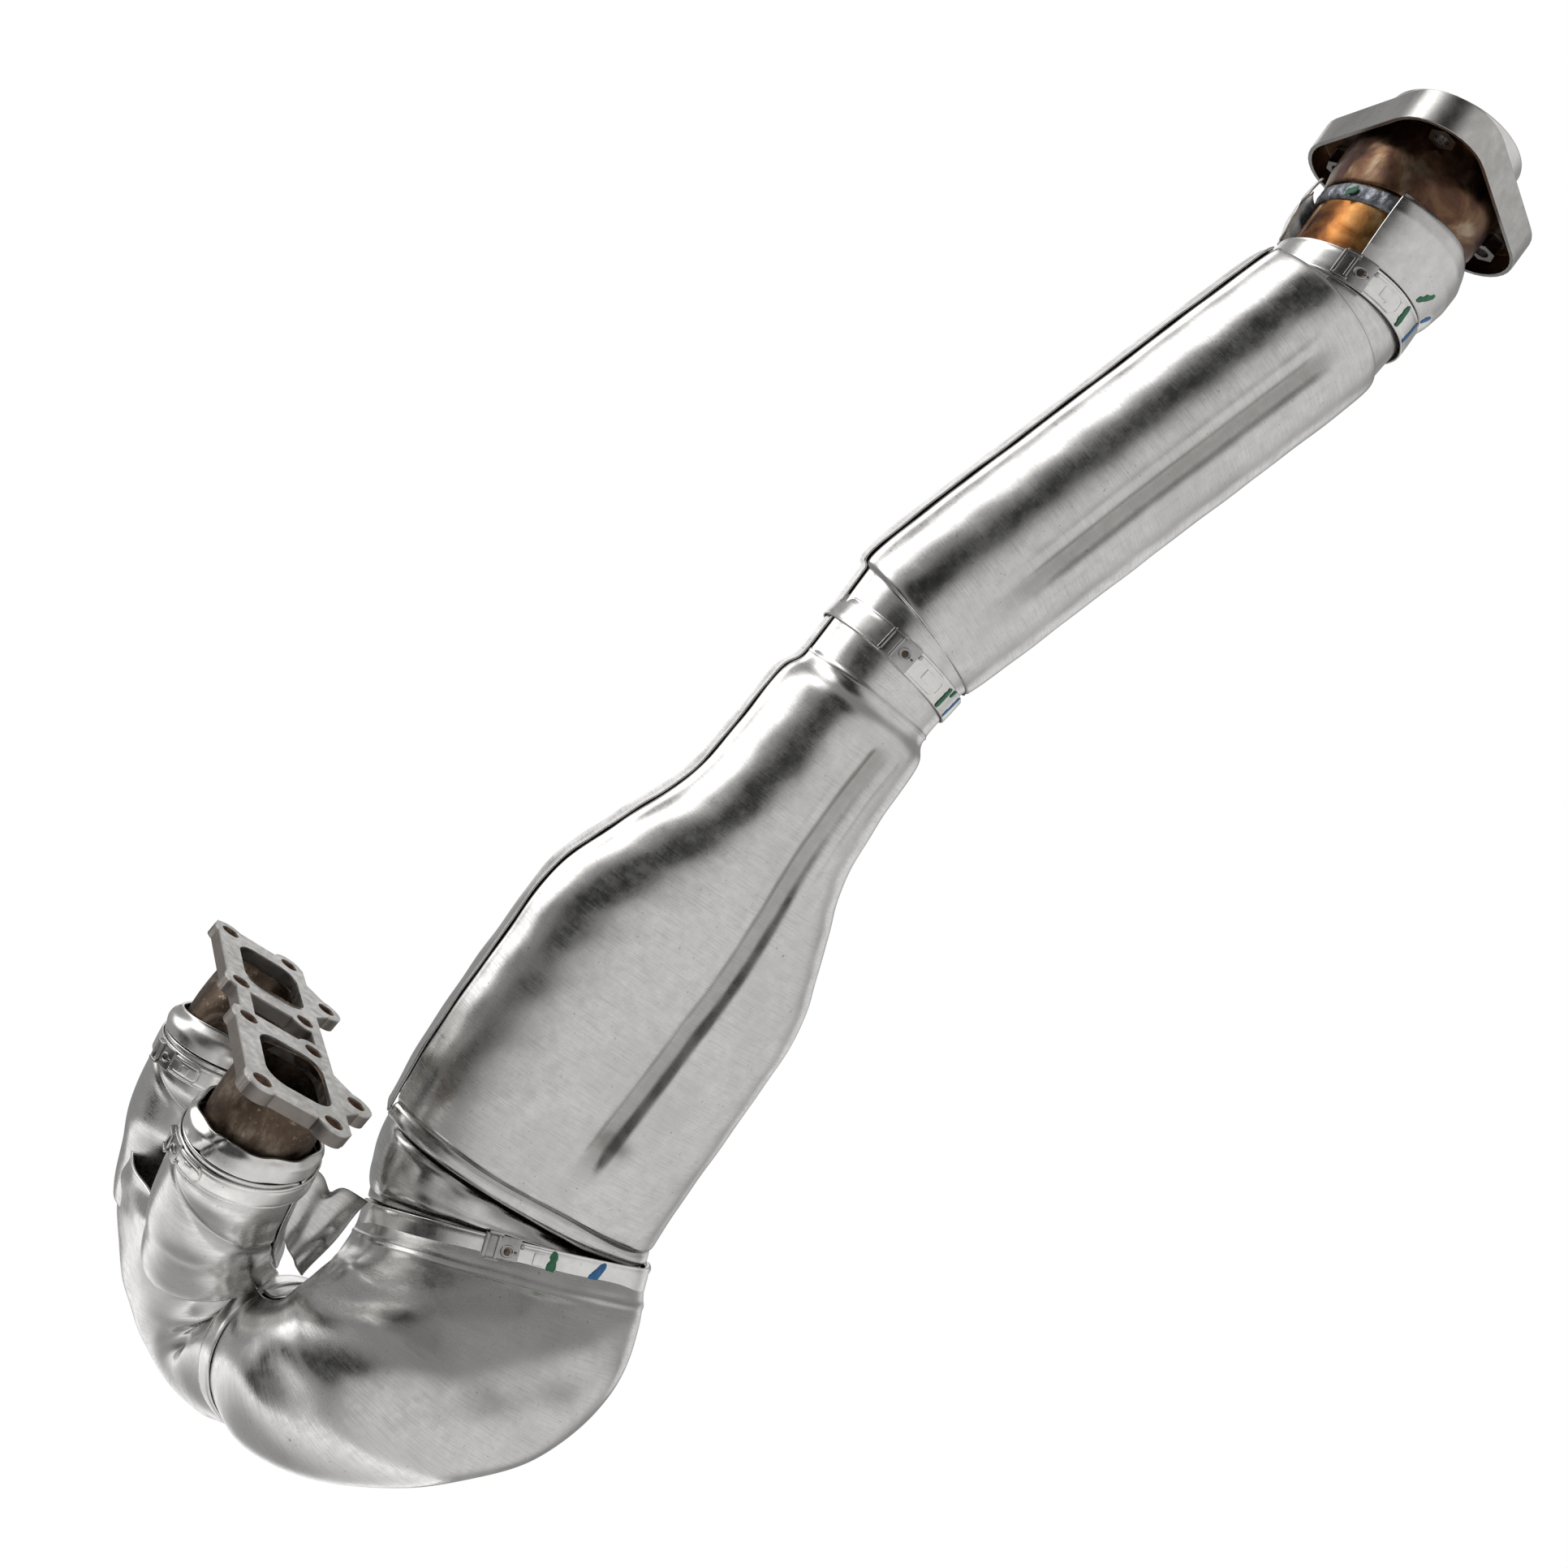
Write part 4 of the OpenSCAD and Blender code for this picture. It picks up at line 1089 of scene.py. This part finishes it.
def make_marks():
    mid = Ring(MID_PLACE, MID_AXIS, MARK_R)
    top = Ring(OUT_PLACE, OUT_AXIS, MARK_R)
    tail = Ring(OUT_PLACE, OUT_AXIS, 37)

    def on(ring, base, heights=None):
        """Lays a stroke on a ring, or on a shield whose rise is given as (along, out) lists."""
        def place(x, y, z):
            rise = float(np.interp(y, *heights)) if heights else 0
            return ring.place(ring.mm(base, x), y, z + rise)
        return place

    film("mark_green.mid", on(mid, 21), (0, -6), (0, 5), 2.6, GREEN, 1)
    film("mark_green.mid_dot", on(mid, 26), (0, 2), (1, 6), 1.6, GREEN, 2)
    film("mark_blue.mid", on(mid, 38), (-.8, -6), (.8, 6), 2.2, BLUE, 3)
    film("mark_green.top", on(top, 9.5), (0, -5.6), (0, 5), 2.8, GREEN, 4)
    film("mark_blue.top", on(top, 29), (-1, -6), (1.4, 6), 2.4, BLUE, 5)
    slope = ([6.6, 12.4, 20.7], [-.55, 2.25, 4.2])
    film("mark_green.tail", on(tail, 12, slope), (-1, 8.5), (4.5, 15.5), 2.4, GREEN, 6)
    film("mark_blue.tail", on(tail, 36, slope), (-1, 7.6), (1, 12), 2.6, BLUE, 9)

    def on_weld(x, y, z):
        return tail.place(-77 + x, y, z - 1.4)

    film("mark_green.bell", on_weld, (-4, 31), (4, 34), 4.0, GREEN, 10, .2)
    ring = Oval(ELBOW, 6.8)
    for name, deg, rise, start, end, wide, mat, seed in (
            ("mark_green.oval", 280, 2.15, (0, -4.8), (.4, 4.8), 4.2, GREEN, 7),
            ("mark_blue.oval", 299, 1.45, (-2.5, -5), (3.5, 5), 3.6, BLUE, 8)):
        film(name, lambda x, y, z, r=ring, d=deg, h=rise: r.place(r.mm(d, x), y, z + h),
             start, end, wide, mat, seed)


# ---- Studio ----


def make_studio():
    scene = bpy.context.scene
    world = bpy.data.worlds.new("studio")
    scene.world = world
    world.use_nodes = True
    tree = world.node_tree
    tree.nodes.clear()
    out = tree.nodes.new("ShaderNodeOutputWorld")
    coord = tree.nodes.new("ShaderNodeTexCoord")

    def lobe(direction, wide, soft):
        dot = tree.nodes.new("ShaderNodeVectorMath")
        dot.operation = "DOT_PRODUCT"
        dot.inputs[1].default_value = Vector(direction).normalized()
        tree.links.new(coord.outputs["Generated"], dot.inputs[0])
        ramp = tree.nodes.new("ShaderNodeMapRange")
        ramp.interpolation_type = "SMOOTHSTEP"
        ramp.inputs["From Min"].default_value = math.cos(math.radians(wide + soft))
        ramp.inputs["From Max"].default_value = math.cos(math.radians(wide))
        tree.links.new(dot.outputs["Value"], ramp.inputs["Value"])
        return ramp.outputs["Result"]

    def calc(how, a, b):
        m = tree.nodes.new("ShaderNodeMath")
        m.operation = how
        for i, v in enumerate((a, b)):
            if isinstance(v, (int, float)):
                m.inputs[i].default_value = v
            else:
                tree.links.new(v, m.inputs[i])
        return m.outputs[0]

    side = Vector((-.5022, -.8645, 0))

    def bearing(deg, rise=0):
        """Direction deg degrees left of the way back to the camera and rise degrees above the level."""
        back = Vector((CAM_BACK.x, CAM_BACK.y, 0)).normalized()
        flat = back * math.cos(math.radians(deg)) + side * math.sin(math.radians(deg))
        return flat * math.cos(math.radians(rise)) + Vector((0, 0, math.sin(math.radians(rise))))

    total = 0.30
    for direction, wide, soft, power in (
        (bearing(87), 12, 13, 2.1),
        (bearing(80, 34), 11, 12, 2.1),
        (bearing(-58), 40, 36, 0.44),
        (bearing(-142, 4), 9, 12, 0.55),
        (bearing(163, 12), 12, 14, 0.9),
    ):
        total = calc("ADD", total, calc("MULTIPLY", lobe(direction, wide, soft), power))
    shades = ((bearing(27), 13, 13), (bearing(24, 34), 12, 13), (bearing(60, -38), 9, 13))
    for direction, wide, soft in shades:
        dark = lobe(direction, wide, soft)
        total = calc("MULTIPLY", total, calc("SUBTRACT", 1.0, calc("MULTIPLY", dark, 0.92)))
    light = tree.nodes.new("ShaderNodeBackground")
    light.inputs["Color"].default_value = (1, 1, 1, 1)
    tree.links.new(total, light.inputs["Strength"])
    plain_white = tree.nodes.new("ShaderNodeBackground")
    plain_white.inputs["Color"].default_value = (1, 1, 1, 1)
    plain_white.inputs["Strength"].default_value = 1.0
    path = tree.nodes.new("ShaderNodeLightPath")
    pick = tree.nodes.new("ShaderNodeMixShader")
    tree.links.new(path.outputs["Is Camera Ray"], pick.inputs["Fac"])
    tree.links.new(light.outputs[0], pick.inputs[1])
    tree.links.new(plain_white.outputs[0], pick.inputs[2])
    tree.links.new(pick.outputs[0], out.inputs["Surface"])

    bm = bmesh.new()
    bmesh.ops.create_circle(bm, cap_ends=True, segments=96, radius=0.52)
    mesh = bpy.data.meshes.new("floor")
    bm.to_mesh(mesh)
    bm.free()
    floor = bpy.data.objects.new("floor", mesh)
    floor.location = (0, .07, cad_box[0].z - 0.38)
    scene.collection.objects.link(floor)
    g = Graph("floor")
    reach = g.add("ShaderNodeVectorMath", operation="LENGTH")
    g.link(g.coord.outputs["Object"], reach.inputs[0])
    # painted shadow: the floor is grey and barely glows near its centre, a soft shadow under the object, and
    # glows towards its rim so that it meets the white backdrop
    color = g.ramp(g.noise(3, 2), [(0.3, (0.94, 0.94, 0.94)), (0.7, (0.97, 0.97, 0.97))])
    color = g.mix(g.span(reach.outputs["Value"], 0.10, 0.44, 1.0, 0.0), color, (0.55, 0.55, 0.55))
    g.shader.inputs["Emission Color"].default_value = (1, 1, 1, 1)
    g.link(g.span(reach.outputs["Value"], 0.16, 0.46, 0.08, 0.80), g.shader.inputs["Emission Strength"])
    g.finish(color, 0.9, None, 0.0)
    floor.data.materials.append(g.mat)
    scene.view_settings.view_transform = "Standard"


make_camera()
make_studio()
paint_nodes()
make_shields()
make_web()
make_clamps()
make_flange()
make_outlet()
make_marks()
